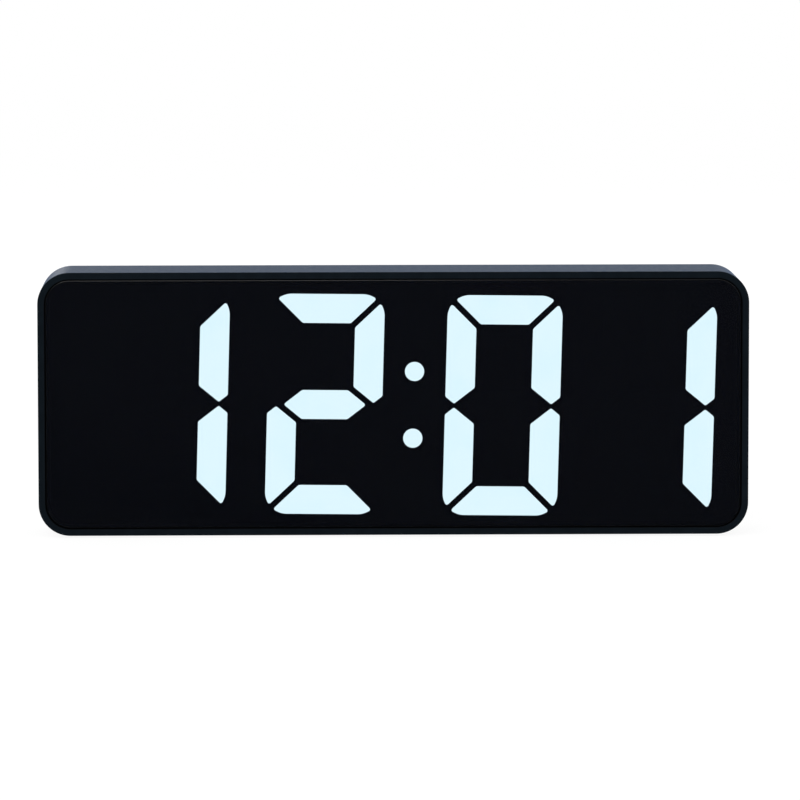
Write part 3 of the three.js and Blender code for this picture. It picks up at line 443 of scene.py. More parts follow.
def finished(target, materials, body, slot, *nodes, smooth=SMOOTH_ANGLE):
    """Takes an object drawn in millimetres to the frame and gives it its looks and its body."""
    target.data.transform(TO_FRAME)
    target.data.materials.clear()
    for material in materials if isinstance(materials, list) else [materials]:
        target.data.materials.append(material)
    target.data.shade_smooth()
    target.data.set_sharp_from_angle(angle=smooth)
    flat = target.modifiers.new("flat_faces", "WEIGHTED_NORMAL")
    flat.keep_sharp = True
    baked(target)
    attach(target, body)
    if nodes:
        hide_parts(*nodes)


# Materials. The sizes of their grains are in millimetres.

LENS_ALPHA = 0.75
LIT_COLOUR = (0.735, 0.925, 1.0)
LIT_DEEP = (0.71, 0.915, 1.0)
LENS_DRIFT = 0.04
LENS_TONE_GRAIN = 6.0
LENS_ROUGH_GRAIN = 3.0
NOISE_LOW, NOISE_HIGH = 0.3, 0.7  # a noise seldom leaves these
TONE_DETAIL = 3.0
TONE_GRAINS = 12
ROUGH_GRAINS = 5
ROUGH_SPREAD = 0.05
EVEN = (1.0, 1.0, 1.0)
ALONG_BOARD = (1.0, 1.0, 5.0)
ALONG_CELL = (0.3, 1.0, 1.0)
TRACK_WIDTH = 1.6


def new_material(name):
    material = bpy.data.materials.new(name)
    material.use_nodes = True
    tree = material.node_tree
    return material, tree, tree.nodes["Principled BSDF"]


def set_inputs(node, values):
    for name, value in values.items():
        node.inputs[name].default_value = value


def noise(tree, size, detail=2.0, stretch=EVEN):
    """A noise texture whose grains are about size millimetres across."""
    place = tree.nodes.new("ShaderNodeTexCoord")
    mapping = tree.nodes.new("ShaderNodeMapping")
    set_inputs(mapping, {"Scale": stretch})
    texture = tree.nodes.new("ShaderNodeTexNoise")
    set_inputs(texture, {"Scale": 1 / (size * MM), "Detail": detail})
    tree.links.new(place.outputs["Object"], mapping.inputs["Vector"])
    tree.links.new(mapping.outputs["Vector"], texture.inputs["Vector"])
    return texture.outputs["Fac"]


def ramp(tree, source, low, high, start=NOISE_LOW, end=NOISE_HIGH):
    node = tree.nodes.new("ShaderNodeValToRGB")
    for element, place, colour in zip(node.color_ramp.elements, (start, end), (low, high)):
        element.position = place
        element.color = (*colour, 1)
    tree.links.new(source, node.inputs["Fac"])
    return node.outputs["Color"]


def varied(tree, shader, colour, spread, size, stretch=EVEN):
    """Base colour that drifts a little between a darker and a lighter tone."""
    low = [c * (1 - spread) for c in colour]
    high = [c * (1 + spread) for c in colour]
    shade = ramp(tree, noise(tree, size, TONE_DETAIL, stretch), low, high)
    tree.links.new(shade, shader.inputs["Base Color"])


def bumped(tree, shader, size, height, detail=2.0, stretch=EVEN):
    bump = tree.nodes.new("ShaderNodeBump")
    set_inputs(bump, {"Strength": 1.0, "Distance": height * MM})
    tree.links.new(noise(tree, size, detail, stretch), bump.inputs["Height"])
    tree.links.new(bump.outputs["Normal"], shader.inputs["Normal"])


def roughened(tree, shader, low, high, size, stretch=EVEN):
    spread = tree.nodes.new("ShaderNodeMapRange")
    set_inputs(spread, {
        "From Min": NOISE_LOW, "From Max": NOISE_HIGH, "To Min": low, "To Max": high,
    })
    tree.links.new(noise(tree, size, TONE_DETAIL, stretch), spread.inputs["Value"])
    tree.links.new(spread.outputs["Result"], shader.inputs["Roughness"])


def moulded(name, colour, rough, grain, height, specular=0.5, spread=0.1, metallic=0.0):
    """Plastic, rubber or plated metal of a roughness and a drift of its colour. Grain and height
    are the width and the depth of its texture in millimetres."""
    material, tree, shader = new_material(name)
    varied(tree, shader, colour, spread, grain * TONE_GRAINS)
    roughened(tree, shader, rough - ROUGH_SPREAD, rough + ROUGH_SPREAD, grain * ROUGH_GRAINS)
    bumped(tree, shader, grain, height)
    set_inputs(shader, {"Specular IOR Level": specular, "Metallic": metallic})
    return material


def case_plastic():
    """Moulded plastic with a faint blue sheen."""
    material = moulded(
        "case_plastic", (0.0050, 0.0080, 0.0112), rough=0.48, grain=0.22, height=0.004,
        specular=0.015, spread=0.14,
    )
    set_inputs(material.node_tree.nodes["Principled BSDF"], {
        "Sheen Weight": 0.185, "Sheen Roughness": 0.3, "Sheen Tint": (0.25, 0.5, 1.0, 1),
    })
    return material


def smoked_lens():
    material, tree, shader = new_material("smoked_lens")
    varied(tree, shader, (0.0022, 0.0028, 0.0051), LENS_DRIFT, LENS_TONE_GRAIN)
    roughened(tree, shader, low=0.10, high=0.13, size=LENS_ROUGH_GRAIN)
    set_inputs(shader, {"Specular IOR Level": 0.03, "Alpha": LENS_ALPHA})
    return material


def lens_edge_print_and_shade(name, specular):
    """Black edge of the lens, dull where it is cut and bright where it is polished."""
    material, tree, shader = new_material(name)
    # The black of the edge is partly a printed border and partly painted shade for the gap
    # between lens and rim.
    varied(tree, shader, (0.0010, 0.0012, 0.0018), LENS_DRIFT, LENS_TONE_GRAIN)
    roughened(tree, shader, low=0.14, high=0.18, size=LENS_ROUGH_GRAIN)
    set_inputs(shader, {"Specular IOR Level": specular})
    return material


def lit_segment():
    """Glowing diffuser whose colour drifts slowly. Its strength makes up for the lens, whose
    front and back its light passes."""
    material, tree, shader = new_material("lit_segment")
    varied(tree, shader, (0.6, 0.75, 0.8), spread=0.04, size=2.0)
    drift = noise(tree, size=9.0, detail=1.0)
    glow = ramp(tree, drift, LIT_DEEP, LIT_COLOUR, start=0.3, end=0.55)
    tree.links.new(glow, shader.inputs["Emission Color"])
    set_inputs(shader, {
        "Emission Strength": 1 / (1 - LENS_ALPHA) ** 2,
        "Roughness": 0.5, "Specular IOR Level": 0.1,
    })
    return material


CASE = case_plastic()
REAR = moulded(
    "rear_plastic", (0.0075, 0.0098, 0.0128), rough=0.42, grain=0.3, height=0.012,
    specular=0.16, spread=0.14,
)
# A darker copy of the case plastic without sheen: painted shade for the inside of the case
# between rim and lens.
CASE_PAINTED_SHADE = moulded(
    "case_inside_painted_shade", (0.0016, 0.0020, 0.0028), rough=0.5, grain=0.22, height=0.004,
    specular=0.03, spread=0.14,
)
LENS = smoked_lens()
# The edges of the lens are darker than its face: partly a printed border, partly painted shade in
# the gap to the rim.
LENS_EDGE = lens_edge_print_and_shade("lens_edge_print_and_shade", specular=0.05)
POLISHED_EDGE = lens_edge_print_and_shade("polished_edge", specular=0.24)
LIT = lit_segment()
DARK_MILK = moulded(
    "unlit_segment", (0.0028, 0.0031, 0.004), rough=0.6, grain=0.5, height=0.003, specular=0.05,
)
KEY = moulded(
    "key_plastic", (0.024, 0.027, 0.032), rough=0.4, grain=0.2, height=0.003, specular=0.35,
)
TAPE = moulded(
    "adhesive_tape", (0.0016, 0.0017, 0.0022), rough=0.8, grain=0.4, height=0.005, specular=0.05,
)
MASK = moulded(
    "mask_print", (0.0014, 0.0015, 0.002), rough=0.8, grain=0.1, height=0.002, specular=0.05,
)
WHITE = moulded(
    "reflector_plastic", (0.8, 0.83, 0.85), rough=0.4, grain=0.4, height=0.003,
    specular=0.4, spread=0.02,
)
BLACK_PART = moulded(
    "component_black", (0.012, 0.012, 0.013), rough=0.5, grain=0.15, height=0.004, specular=0.3,
)
SLEEVE = moulded(
    "capacitor_sleeve", (0.012, 0.016, 0.03), rough=0.3, grain=1.0, height=0.004, specular=0.5,
)
STEEL = moulded(
    "plated_steel", (0.55, 0.56, 0.58), rough=0.3, grain=0.3, height=0.002,
    specular=0.5, spread=0.05, metallic=1.0,
)
RED = moulded(
    "red_insulation", (0.4, 0.02, 0.015), rough=0.35, grain=0.4, height=0.003, specular=0.4,
)
GREY = moulded(
    "grey_insulation", (0.27, 0.29, 0.32), rough=0.4, grain=0.4, height=0.003, specular=0.4,
)
RUBBER = moulded(
    "foot_rubber", (0.012, 0.012, 0.013), rough=0.85, grain=0.25, height=0.008, specular=0.15,
)


def board_resin():
    """Green solder mask over faint copper tracks."""
    material, tree, shader = new_material("board_resin")
    tracks = noise(tree, TRACK_WIDTH, detail=0.0, stretch=ALONG_BOARD)
    colour = ramp(
        tree, tracks, (0.010, 0.085, 0.032), (0.022, 0.14, 0.055), start=0.47, end=0.53,
    )
    tree.links.new(colour, shader.inputs["Base Color"])
    roughened(tree, shader, low=0.25, high=0.4, size=2.0)
    bumped(tree, shader, TRACK_WIDTH, height=0.02, detail=0.0, stretch=ALONG_BOARD)
    return material


def cell_film(name, colour):
    """Plain metallic film round a battery cell."""
    material, tree, shader = new_material(name)
    varied(tree, shader, colour, spread=0.08, size=8.0, stretch=ALONG_CELL)
    roughened(tree, shader, low=0.25, high=0.35, size=3.0, stretch=ALONG_CELL)
    bumped(tree, shader, size=1.5, height=0.004)
    set_inputs(shader, {"Metallic": 0.8})
    return material


BOARD = board_resin()
FILM = cell_film("cell_film", (0.045, 0.055, 0.075))
BAND = cell_film("cell_band", (0.30, 0.33, 0.37))
GOLD = moulded(
    "gold_contact", (0.75, 0.52, 0.2), rough=0.3, grain=0.2, height=0.001,
    specular=0.5, spread=0.04, metallic=1.0,
)


# Case and lens

def case_profile():
    """The wall of the case as pairs (inset, depth), round the outside and back inside it."""
    front = quarter_round(FRONT_ROUND)[::-1]
    rear = [(inwards, CASE_DEPTH - along) for inwards, along in quarter_round(REAR_ROUND)]
    lip = [
        (CASE_WALL - inwards, along) for inwards, along in quarter_round(LIP_ROUND, LIP_STEPS)
    ]
    return front + rear + [
        (CASE_WALL, CASE_DEPTH),
        (CASE_WALL, LEDGE_BACK),
        (CASE_WALL + LEDGE_WIDTH, LEDGE_BACK),
        (CASE_WALL + LEDGE_WIDTH, LEDGE_FRONT),
        (CASE_WALL, LEDGE_FRONT),
    ] + lip


def rib(x, z, towards, length, near, far):
    """A rib from a boss to the wall, along the flat direction towards."""
    across = (-towards[1] * RIB_WIDTH / 2, towards[0] * RIB_WIDTH / 2)
    end = (x + towards[0] * length, z + towards[1] * length)
    return pushed([
        (x - across[0], z - across[1]), (end[0] - across[0], end[1] - across[1]),
        (end[0] + across[0], end[1] + across[1]), (x + across[0], z + across[1]),
    ], near, far)


def boss(x, z, radius, far, towards, reach):
    """The two tools of a boss: a pin, and a rib that ties it to the wall."""
    return [pin(radius, BOSS_FRONT, far, x, z), rib(x, z, towards, reach, BOSS_FRONT, far)]


def pilot(x, z, far):
    """The hole for a screw in a boss."""
    near = BOSS_FRONT + CUT_OVER / 2
    return pin(SCREW_RADIUS + PILOT_GAP, near, far + CUT_OVER, x, z, HOLE_FACES)


def housing_shell():
    """The case with its ledge, bosses and recesses for the feet, and with its inside painted
    darker as shade.
    """
    shell = object_of(swept(case_ring, case_profile(), looped=True), "housing_shell")
    bosses, pilots = [], []
    for x, z in CORNER_SCREWS:
        side, up = math.copysign(1, x), math.copysign(1, z - MIDDLE)
        diagonal = (side / math.sqrt(2), up / math.sqrt(2))
        reach = CORNER_BOSS_RADIUS + CASE_WALL / 2
        bosses += boss(x, z, CORNER_BOSS_RADIUS, CORNER_BOSS_BACK, diagonal, reach)
        pilots.append(pilot(x, z, CORNER_BOSS_BACK))
    for x, z in BOARD_SCREWS:
        upright = (0.0, math.copysign(1, z - MIDDLE))
        reach = INNER_HEIGHT / 2 + CASE_WALL / 2 - abs(z - MIDDLE)
        bosses += boss(x, z, BOARD_BOSS_RADIUS, BOARD_BOSS_BACK, upright, reach)
        pilots.append(pilot(x, z, BOARD_BOSS_BACK))
    for tool in bosses:
        combined(shell, "UNION", [tool])
    combined(shell, "DIFFERENCE", pilots)
    recesses = [foot_block(node, SIDE_GAP, -CUT_OVER, levels(node)[1]) for node in FEET]
    combined(shell, "DIFFERENCE", recesses)
    finished(shell, [CASE, CASE_PAINTED_SHADE], "case", "case_plastic", "housing")
    # Faces inside the lip get the darker copy of the plastic, painted shade in the gap between
    # rim and lens.
    for face in shell.data.polygons:
        x, z = face.center.x / MM, (face.center.z - case_low.z) / MM
        face.material_index = int(inset_of(x, z) > CASE_WALL - LIP_ROUND)


def foot_block(node, border, low, high):
    """The shape of a foot between two levels, moved outwards by a border."""
    near, far = depths(node)
    ring = rounded_ring(
        span(node)[0] + 2 * border, far - near + 2 * border, FOOT_CORNER + border,
        centre(node)[0], (near + far) / 2, FOOT_STEPS,
    )
    return lofted([[(u, v, level) for u, v in ring] for level in (low, high)])


def foot_pad(node):
    mesh = foot_block(node, 0.0, *levels(node))
    pad = object_of(mesh, node.replace("foot_pad", "rubber_foot"))
    bevelled(pad, FOOT_EDGE, FOOT_EDGE_STEPS)
    finished(pad, RUBBER, "case", "foot_rubber", node)


def lens_pane():
    """The lens, with a rounded front edge that is polished along its upper side."""
    bevel = quarter_round(LENS_BEVEL)[::-1]
    profile = [(COVER_INSET + inwards, LENS_FRONT + along) for inwards, along in bevel]
    profile.append((COVER_INSET, LENS_BACK))
    pane = object_of(swept(case_ring, profile), "lens_pane")
    finished(pane, [LENS, LENS_EDGE, POLISHED_EDGE], "case", "smoked_lens", "display_lens")
    for face in pane.data.polygons:
        if abs(face.normal.y) < FACING_SHARE:
            face.material_index = 2 if face.normal.z > POLISHED_SHARE else 1


# Digits

def diffuser_plate(name, node, ring):
    plate = object_of(pushed(ring, PLATE_FRONT, PLATE_BACK), name)
    finished(plate, DARK_MILK, "case", "segment_diffuser", node)


def panel_plate(name, node, left, right, high):
    """A plate of the tilted row, as tall above the middle of the row as below it."""
    ring = [on_panel(u, v) for u, v in oblong(left, right, -high, high)]
    diffuser_plate(name, node, ring)


def light_piece(name, ring, lit):
    """A stroke or dot of the diffuser. A lit one glows from its front face alone."""
    piece = object_of(pushed(ring, SEGMENT_FRONT, PLATE_FRONT), name)
    finished(piece, [DARK_MILK, LIT if lit else DARK_MILK], "case", "segment_diffuser")
    for face in piece.data.polygons:
        face.material_index = int(face.normal.y < -FACING_SHARE)


def digits():
    strokes = digit_strokes()
    for i, (place, lit) in enumerate(zip(DIGIT_PLACES, LIT_STROKES), 1):
        left = place - DIGIT_WIDTH / 2 - DIFFUSER_BORDER
        right = place + DIGIT_WIDTH / 2 + DIFFUSER_BORDER
        high = DIGIT_HEIGHT / 2 + DIFFUSER_EDGE
        panel_plate(f"digit_{i}_plate", f"digit_{i}_diffuser", left, right, high)
        for name, ring in strokes.items():
            placed = [on_panel(place + x, z) for x, z in ring]
            light_piece(f"digit_{i}_segment_{name}", placed, name in lit)


def colon():
    half = COLON_DIAMETER / 2 + DIFFUSER_BORDER
    high = (COLON_SPACING + COLON_DIAMETER) / 2 + DIFFUSER_BORDER
    panel_plate("colon_plate", "colon_diffuser", -half, half, high)
    for up, name in zip(SIDES, ("lower", "upper")):
        spot = on_panel(0.0, up * COLON_SPACING / 2)
        ring = circle(COLON_DIAMETER / 2 - LIGHT_INSET, *spot, DOT_FACES)
        light_piece(f"colon_dot_{name}", ring, True)


def indicators():
    """Three unlit dots left of the digits, in a column that isn't tilted."""
    half = INDICATOR_DIAMETER / 2 + DIFFUSER_BORDER
    high = INDICATOR_SPACING + half
    ring = oblong(INDICATOR_X - half, INDICATOR_X + half, ROW_Z - high, ROW_Z + high)
    diffuser_plate("indicator_plate", "indicator_diffuser", ring)
    for up in (-1, 0, 1):
        ring = circle(INDICATOR_DIAMETER / 2, INDICATOR_X, ROW_Z + up * INDICATOR_SPACING)
        light_piece(f"indicator_dot_{up + 2}", ring, False)


housing_shell()
lens_pane()
digits()
colon()
indicators()
for node in FEET:
    foot_pad(node)

# Battery cells, springs and the bay that holds them

CELL_RADIUS = 5.25
CELL_GAP = 0.5
CELL_ROUND = 0.4
NUB_RADIUS = 1.9
NUB_LENGTH = 1.2
CELL_FACES = 48
FILM_LIP = 0.35
BAND_SHARE = 0.22
BAY_WALL = 1.4
BAY_FLOOR = 1.0
CELL_AXIS = sum(depths("battery_cell_1")) / 2
CELL_ROWS = [centre(f"battery_cell_{i}")[1] for i in (1, 2, 3)]
BAY_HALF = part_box("contact_bridge_right")[1].x / MM + STACK_GAP
BAY_OUTER = BAY_HALF + BAY_WALL
BAY_LOW = CELL_ROWS[0] - CELL_RADIUS - CELL_GAP
BAY_HIGH = CELL_ROWS[-1] + CELL_RADIUS + CELL_GAP
BAY_DEEP = CELL_AXIS - CELL_RADIUS - STACK_GAP
BAY_FRONT = BAY_DEEP - BAY_FLOOR


def cell(i, row):
    """A cell along x, whose plain film wraps a steel can with a nub at one end and has a band
    of another colour beside the nub. Every second cell is turned round."""
    node = f"battery_cell_{i}"
    low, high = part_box(node)
    start, end = (low.x / MM, high.x / MM) if i % 2 else (high.x / MM, low.x / MM)
    way = 1 if end > start else -1
    length = abs(end - start) - NUB_LENGTH
    film = CELL_RADIUS - CELL_ROUND
    band = length * (1 - BAND_SHARE)
    third = CELL_ROUND / 3
    profile = [
        (0.0, film - FILM_LIP), (0.0, film), (third, CELL_RADIUS - third),
        (CELL_ROUND, CELL_RADIUS), (band, CELL_RADIUS), (length - CELL_ROUND, CELL_RADIUS),
        (length - third, CELL_RADIUS - third), (length, film),
        (length, film - FILM_LIP), (length - FILM_LIP, film - 2 * FILM_LIP),
        (length - FILM_LIP, NUB_RADIUS + FILM_LIP), (length, NUB_RADIUS),
        (length + NUB_LENGTH - FILM_LIP, NUB_RADIUS),
        (length + NUB_LENGTH, NUB_RADIUS - FILM_LIP),
    ]
    rings = [
        [(start + way * along, u, v) for u, v in circle(radius, CELL_AXIS, row, CELL_FACES)]
        for along, radius in profile
    ]
    made = object_of(lofted(rings), f"cell_{i}")
    finished(made, [STEEL, FILM, BAND], "case", "cell_jacket", node)
    axis = TO_FRAME @ Vector((0, CELL_AXIS, row))
    for face in made.data.polygons:
        away = math.hypot(face.center.y - axis.y, face.center.z - axis.z)
        along = (face.center.x / MM - start) * way
        if away > (film - FILM_LIP) * MM:
            face.material_index = 2 if along > band else 1


SPRING_WIRE = 0.7
SPRING_LENGTH = 5.3
SPRING_CURLS = 3.5
SPRING_BASE = 3.3
SPRING_TIP = 2.5
SPRING_STEPS = 24
WIRE_FACES = 10


def tube(points, radius, faces):
    """A tube with a ring of faces square to its path at every point."""
    rings = []
    across = None
    for i, point in enumerate(points):
        back = (point - points[i - 1]).normalized() if i else None
        ahead = (points[i + 1] - point).normalized() if i + 1 < len(points) else None
        along = ((back or ahead) + (ahead or back)).normalized()
        if across is None:
            across = Vector((0, 0, 1)).cross(along)
        across = (across - along * across.dot(along)).normalized()
        up = along.cross(across)
        angles = [2 * math.pi * j / faces for j in range(faces)]
        rings.append([
            tuple(point + across * radius * math.cos(a) + up * radius * math.sin(a))
            for a in angles
        ])
    return lofted(rings)


def spring(i, row):
    """A spring that narrows from its plate to the flat end of its cell."""
    low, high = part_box(f"contact_spring_{i}")
    start, way = (low.x / MM, 1) if i % 2 else (high.x / MM, -1)
    run = SPRING_LENGTH - 2 * SPRING_WIRE
    steps = int(SPRING_CURLS * SPRING_STEPS)
    points = []
    for step in range(steps + 1):
        angle = 2 * math.pi * step / SPRING_STEPS
        radius = SPRING_BASE + (SPRING_TIP - SPRING_BASE) * step / steps
        along = SPRING_WIRE + run * step / steps
        points.append(Vector((
            start + way * along,
            CELL_AXIS + way * radius * math.cos(angle),
            row + radius * math.sin(angle),
        )))
    made = object_of(tube(points, SPRING_WIRE / 2, WIRE_FACES), f"coil_{i}")
    finished(
        made, STEEL, "case", "plated_steel", f"contact_spring_{i}", smooth=WIRE_SMOOTH_ANGLE,
    )


for i, row in enumerate(CELL_ROWS, 1):
    cell(i, row)
    spring(i, row)

# Rear cover with its bay, key holes, port, sound holes and screw wells

COVER_THICKNESS = 1.8
COVER_FRONT = CASE_DEPTH - COVER_THICKNESS
COVER_ROUND = 0.25
HOLE_CHAMFER = 0.12
CHAMFER_OVER = 0.15  # how far the tool of a chamfer passes the back of the cover
DOOR_EDGE = 0.12
COVER_RIB_WIDTH = 1.0
COVER_RIB_HEIGHT = 3.0
DOOR_THICKNESS = 1.3
DOOR_FRONT = CASE_DEPTH - DOOR_THICKNESS
REBATE_WIDTH = 1.2
TONGUE_PLACE = 14.0
TONGUE_WIDTH = 6.0
TONGUE_THICKNESS = 0.75
TONGUE_REACH = 1.3
TONGUE_NECK = 1.4
TONGUE_FRONT = COVER_FRONT - 2 * STACK_GAP - TONGUE_THICKNESS
POST_WELL = depths("cover_screw_1")[1] - SCREW_HEAD_HEIGHT - STACK_GAP
KEY_POST_RADIUS = 2.2
KEY_POST_OFFSET = 9.0
KEY_WIDTH = 9.0
KEY_HEIGHT = 6.0
KEYS = ("mode_key", "set_key", "up_key", "down_key")
KEY_PLACES = [centre(name)[0] for name in KEYS]
KEY_MIDDLE = centre("mode_key")[1]
KEY_BOARD_BACK = depths("key_board")[1]
SOCKET = centre("usb_socket")
SOCKET_WIDTH, SOCKET_HEIGHT = span("usb_socket")
PORT_GAP = 0.3
BUZZER = centre("buzzer")
SOUND_HOLE_RADIUS = 0.8
SOUND_HOLE_PITCH = 3.0
SOUND_HOLE_RING = 6
SCOOP_RADIUS = 6.0
SCOOP_DEPTH = 0.8
PLATE_HEIGHT = 8.0
PLATE_THICKNESS = 0.4
TAIL_LOW = BAY_DEEP + PLATE_HEIGHT / 3
TAIL_WIDTH = 2.0


def cover_plate():
    """The cover's plate with the rib round its front side."""
    inner = COVER_INSET + COVER_RIB_WIDTH
    rib_front = COVER_FRONT - COVER_RIB_HEIGHT
    profile = [(inner, COVER_FRONT), (inner, rib_front), (COVER_INSET, rib_front)]
    profile += [
        (COVER_INSET + inwards, CASE_DEPTH - along)
        for inwards, along in quarter_round(COVER_ROUND, SMALL_STEPS)
    ]
    return object_of(swept(case_ring, profile), "back_panel")


def mouth(outline, near):
    """A tool for a hole with a chamfered rim in the back of the cover. Outline gives the ring of
    the hole, moved outwards by a border."""
    return swept(outline, [
        (0.0, near), (0.0, CASE_DEPTH - HOLE_CHAMFER),
        (HOLE_CHAMFER + CHAMFER_OVER, CASE_DEPTH + CHAMFER_OVER),
    ])


def rebate(border):
    """The recess for the door, moved outwards by a border."""
    half = BAY_HALF + REBATE_WIDTH + border
    return oblong(-half, half, BAY_LOW - border, BAY_HIGH + REBATE_WIDTH + border)


def cover_posts():
    """Posts for the corner screws, and two that carry the key board."""
    back = COVER_FRONT + STACK_GAP
    posts = [
        pin(CORNER_BOSS_RADIUS, CORNER_BOSS_BACK + STACK_GAP, back, x, z)
        for x, z in CORNER_SCREWS
    ]
    key_post_x = KEY_PLACES[-1] + KEY_POST_OFFSET
    for side in SIDES:
        posts.append(pin(KEY_POST_RADIUS, KEY_BOARD_BACK, back, side * key_post_x, KEY_MIDDLE))
    return posts


def bay_slots():
    """Slots for the door's tongues, wide enough for their swing, and for the terminals' tails."""
    slots = []
    sweep = math.hypot(TONGUE_REACH + RUN_GAP, CASE_DEPTH - TONGUE_FRONT) + PIECE_GAP
    half = TONGUE_WIDTH / 2 + PIECE_GAP
    tall = PLATE_THICKNESS / 2 + SIDE_GAP
    for side, row in zip(SIDES, (CELL_ROWS[0], CELL_ROWS[-1])):
        x = side * TONGUE_PLACE
        slots.append(block(
            x - half, x + half, CASE_DEPTH - sweep, COVER_FRONT,
            BAY_LOW - BAY_WALL - CUT_OVER, BAY_LOW + CUT_OVER,
        ))
        ends = sorted((side * (BAY_HALF - CUT_OVER), side * (BAY_OUTER + CUT_OVER)))
        slots.append(block(
            *ends, TAIL_LOW - SIDE_GAP, TAIL_LOW + TAIL_WIDTH + SIDE_GAP, row - tall, row + tall,
        ))
    return slots


def cover_holes():
    """Screw wells, key holes, the power port and the ring of sound holes."""
    well = SCREW_HEAD_RADIUS + THROUGH_GAP
    holes = [
        mouth(lambda border: circle(well + border, x, z), POST_WELL) for x, z in CORNER_SCREWS
    ]
    through = COVER_FRONT - CUT_OVER
    for x in KEY_PLACES:
        holes.append(mouth(
            lambda border: pill(KEY_WIDTH, KEY_HEIGHT, RUN_GAP + border, x, KEY_MIDDLE), through,
        ))
    holes.append(mouth(
        lambda border: pill(SOCKET_WIDTH, SOCKET_HEIGHT, PORT_GAP + border, *SOCKET), through,
    ))
    for x, z in (BUZZER, *circle(SOUND_HOLE_PITCH, *BUZZER, SOUND_HOLE_RING)):
        holes.append(mouth(lambda border: circle(SOUND_HOLE_RADIUS + border, x, z), through))
    return holes


def rear_cover():
    cover = cover_plate()
    bay = block(
        -BAY_OUTER, BAY_OUTER, BAY_FRONT, COVER_FRONT + COVER_THICKNESS / 2,
        BAY_LOW - BAY_WALL, BAY_HIGH + BAY_WALL,
    )
    combined(cover, "UNION", [bay, *cover_posts()])
    back = CASE_DEPTH + CUT_OVER
    combined(cover, "DIFFERENCE", [
        block(-BAY_HALF, BAY_HALF, BAY_DEEP, back, BAY_LOW, BAY_HIGH),
    ])
    combined(cover, "DIFFERENCE", [mouth(rebate, DOOR_FRONT - STACK_GAP)])
    combined(cover, "DIFFERENCE", [pin(
        SCOOP_RADIUS, CASE_DEPTH - SCOOP_DEPTH, back, 0.0, BAY_HIGH + REBATE_WIDTH, 2 * PIN_FACES,
    )])
    combined(cover, "DIFFERENCE", bay_slots() + cover_holes())
    combined(cover, "DIFFERENCE", [
        pin(SCREW_RADIUS + THROUGH_GAP, CORNER_BOSS_BACK, CASE_DEPTH, x, z, HOLE_FACES)
        for x, z in CORNER_SCREWS
    ])
    finished(cover, REAR, "case", "case_plastic", "rear_cover")


DOOR_CORNER = 0.5
LATCH_WIDTH = 10.0
LATCH_LENGTH = 6.0
LATCH_SLOT = 0.8
GRIP_GROOVES = 3
GRIP_PITCH = 1.5
GRIP_WIDTH = 0.7
GRIP_DEPTH = 0.4


def battery_door():
    """The door with its two tongues, and with a springy latch between two slots."""
    half = BAY_HALF + REBATE_WIDTH - SIDE_GAP
    low = BAY_LOW + RUN_GAP
    high = BAY_HIGH + REBATE_WIDTH - SIDE_GAP
    middle = (low + high) / 2
    ring = rounded_ring(2 * half, high - low, DOOR_CORNER, 0.0, middle, SMALL_STEPS)
    door = object_of(pushed(ring, DOOR_FRONT, CASE_DEPTH), "bay_door")
    tongues, slots = [], []
    reach = TONGUE_WIDTH / 2
    for side in SIDES:
        x = side * TONGUE_PLACE
        tongues += [
            block(
                x - reach, x + reach, TONGUE_FRONT, DOOR_FRONT + STACK_GAP,
                low, BAY_LOW + TONGUE_NECK,
            ),
            block(
                x - reach, x + reach, TONGUE_FRONT, TONGUE_FRONT + TONGUE_THICKNESS,
                BAY_LOW - TONGUE_REACH, BAY_LOW + TONGUE_NECK,
            ),
        ]
        slot = side * (LATCH_WIDTH + LATCH_SLOT) / 2
        slots.append(block(
            slot - LATCH_SLOT / 2, slot + LATCH_SLOT / 2, DOOR_FRONT - CUT_OVER,
            CASE_DEPTH + CUT_OVER, high - LATCH_LENGTH, high + LATCH_LENGTH,
        ))
    arm = LATCH_WIDTH / 2 - LATCH_SLOT
    for i in range(GRIP_GROOVES):
        z = high - LATCH_LENGTH / 3 - i * GRIP_PITCH
        slots.append(pushed(
            pill(2 * arm, GRIP_WIDTH, 0.0, 0.0, z, SMALL_STEPS), CASE_DEPTH - GRIP_DEPTH,
            CASE_DEPTH + CUT_OVER,
        ))
    combined(door, "UNION", tongues)
    combined(door, "DIFFERENCE", slots)
    bevelled(door, DOOR_EDGE)
    finished(door, REAR, "battery_door", "case_plastic", "battery_cover")


# Keys, screws and the power socket

KEY_STEPS = 16
KEY_EDGE = 0.5
KEY_DISH = 0.15
DISH_SHARES = (0.25, 0.5, 0.75, 1.0)
DISH_DIVISOR = 2.6  # the dish reaches inwards by the key's height over this
FLANGE_BORDER = 1.2
FLANGE_THICKNESS = 0.9
KEY_FRONT, KEY_TOP = depths("mode_key")

SCREW_TIP_SHARE = 0.6
SCREW_TIP_LENGTH = 0.5
SCREW_SHOULDER = 0.45
CROSS_REACH = 0.95
CROSS_HALF_WIDTH = 0.24
CROSS_DEPTH = 0.7


def key(name, body, x):
    """A key cap with a rounded edge and a shallow dish, and the flange that keeps it in."""
    flange_back = KEY_FRONT + FLANGE_THICKNESS
    profile = [(FLANGE_BORDER, KEY_FRONT), (FLANGE_BORDER, flange_back), (0.0, flange_back)]
    profile += [(-inwards, KEY_TOP - along) for inwards, along in quarter_round(KEY_EDGE)]
    for share in DISH_SHARES:
        border = -KEY_EDGE - share * KEY_HEIGHT / DISH_DIVISOR
        profile.append((border, KEY_TOP - KEY_DISH * math.sin(share * math.pi / 2)))
    mesh = swept(
        lambda border: pill(KEY_WIDTH, KEY_HEIGHT, border, x, KEY_MIDDLE, KEY_STEPS), profile,
    )
    cap = object_of(mesh, name.replace("key", "button"))
    finished(cap, KEY, body, "key_plastic", name, smooth=KEY_SMOOTH_ANGLE)


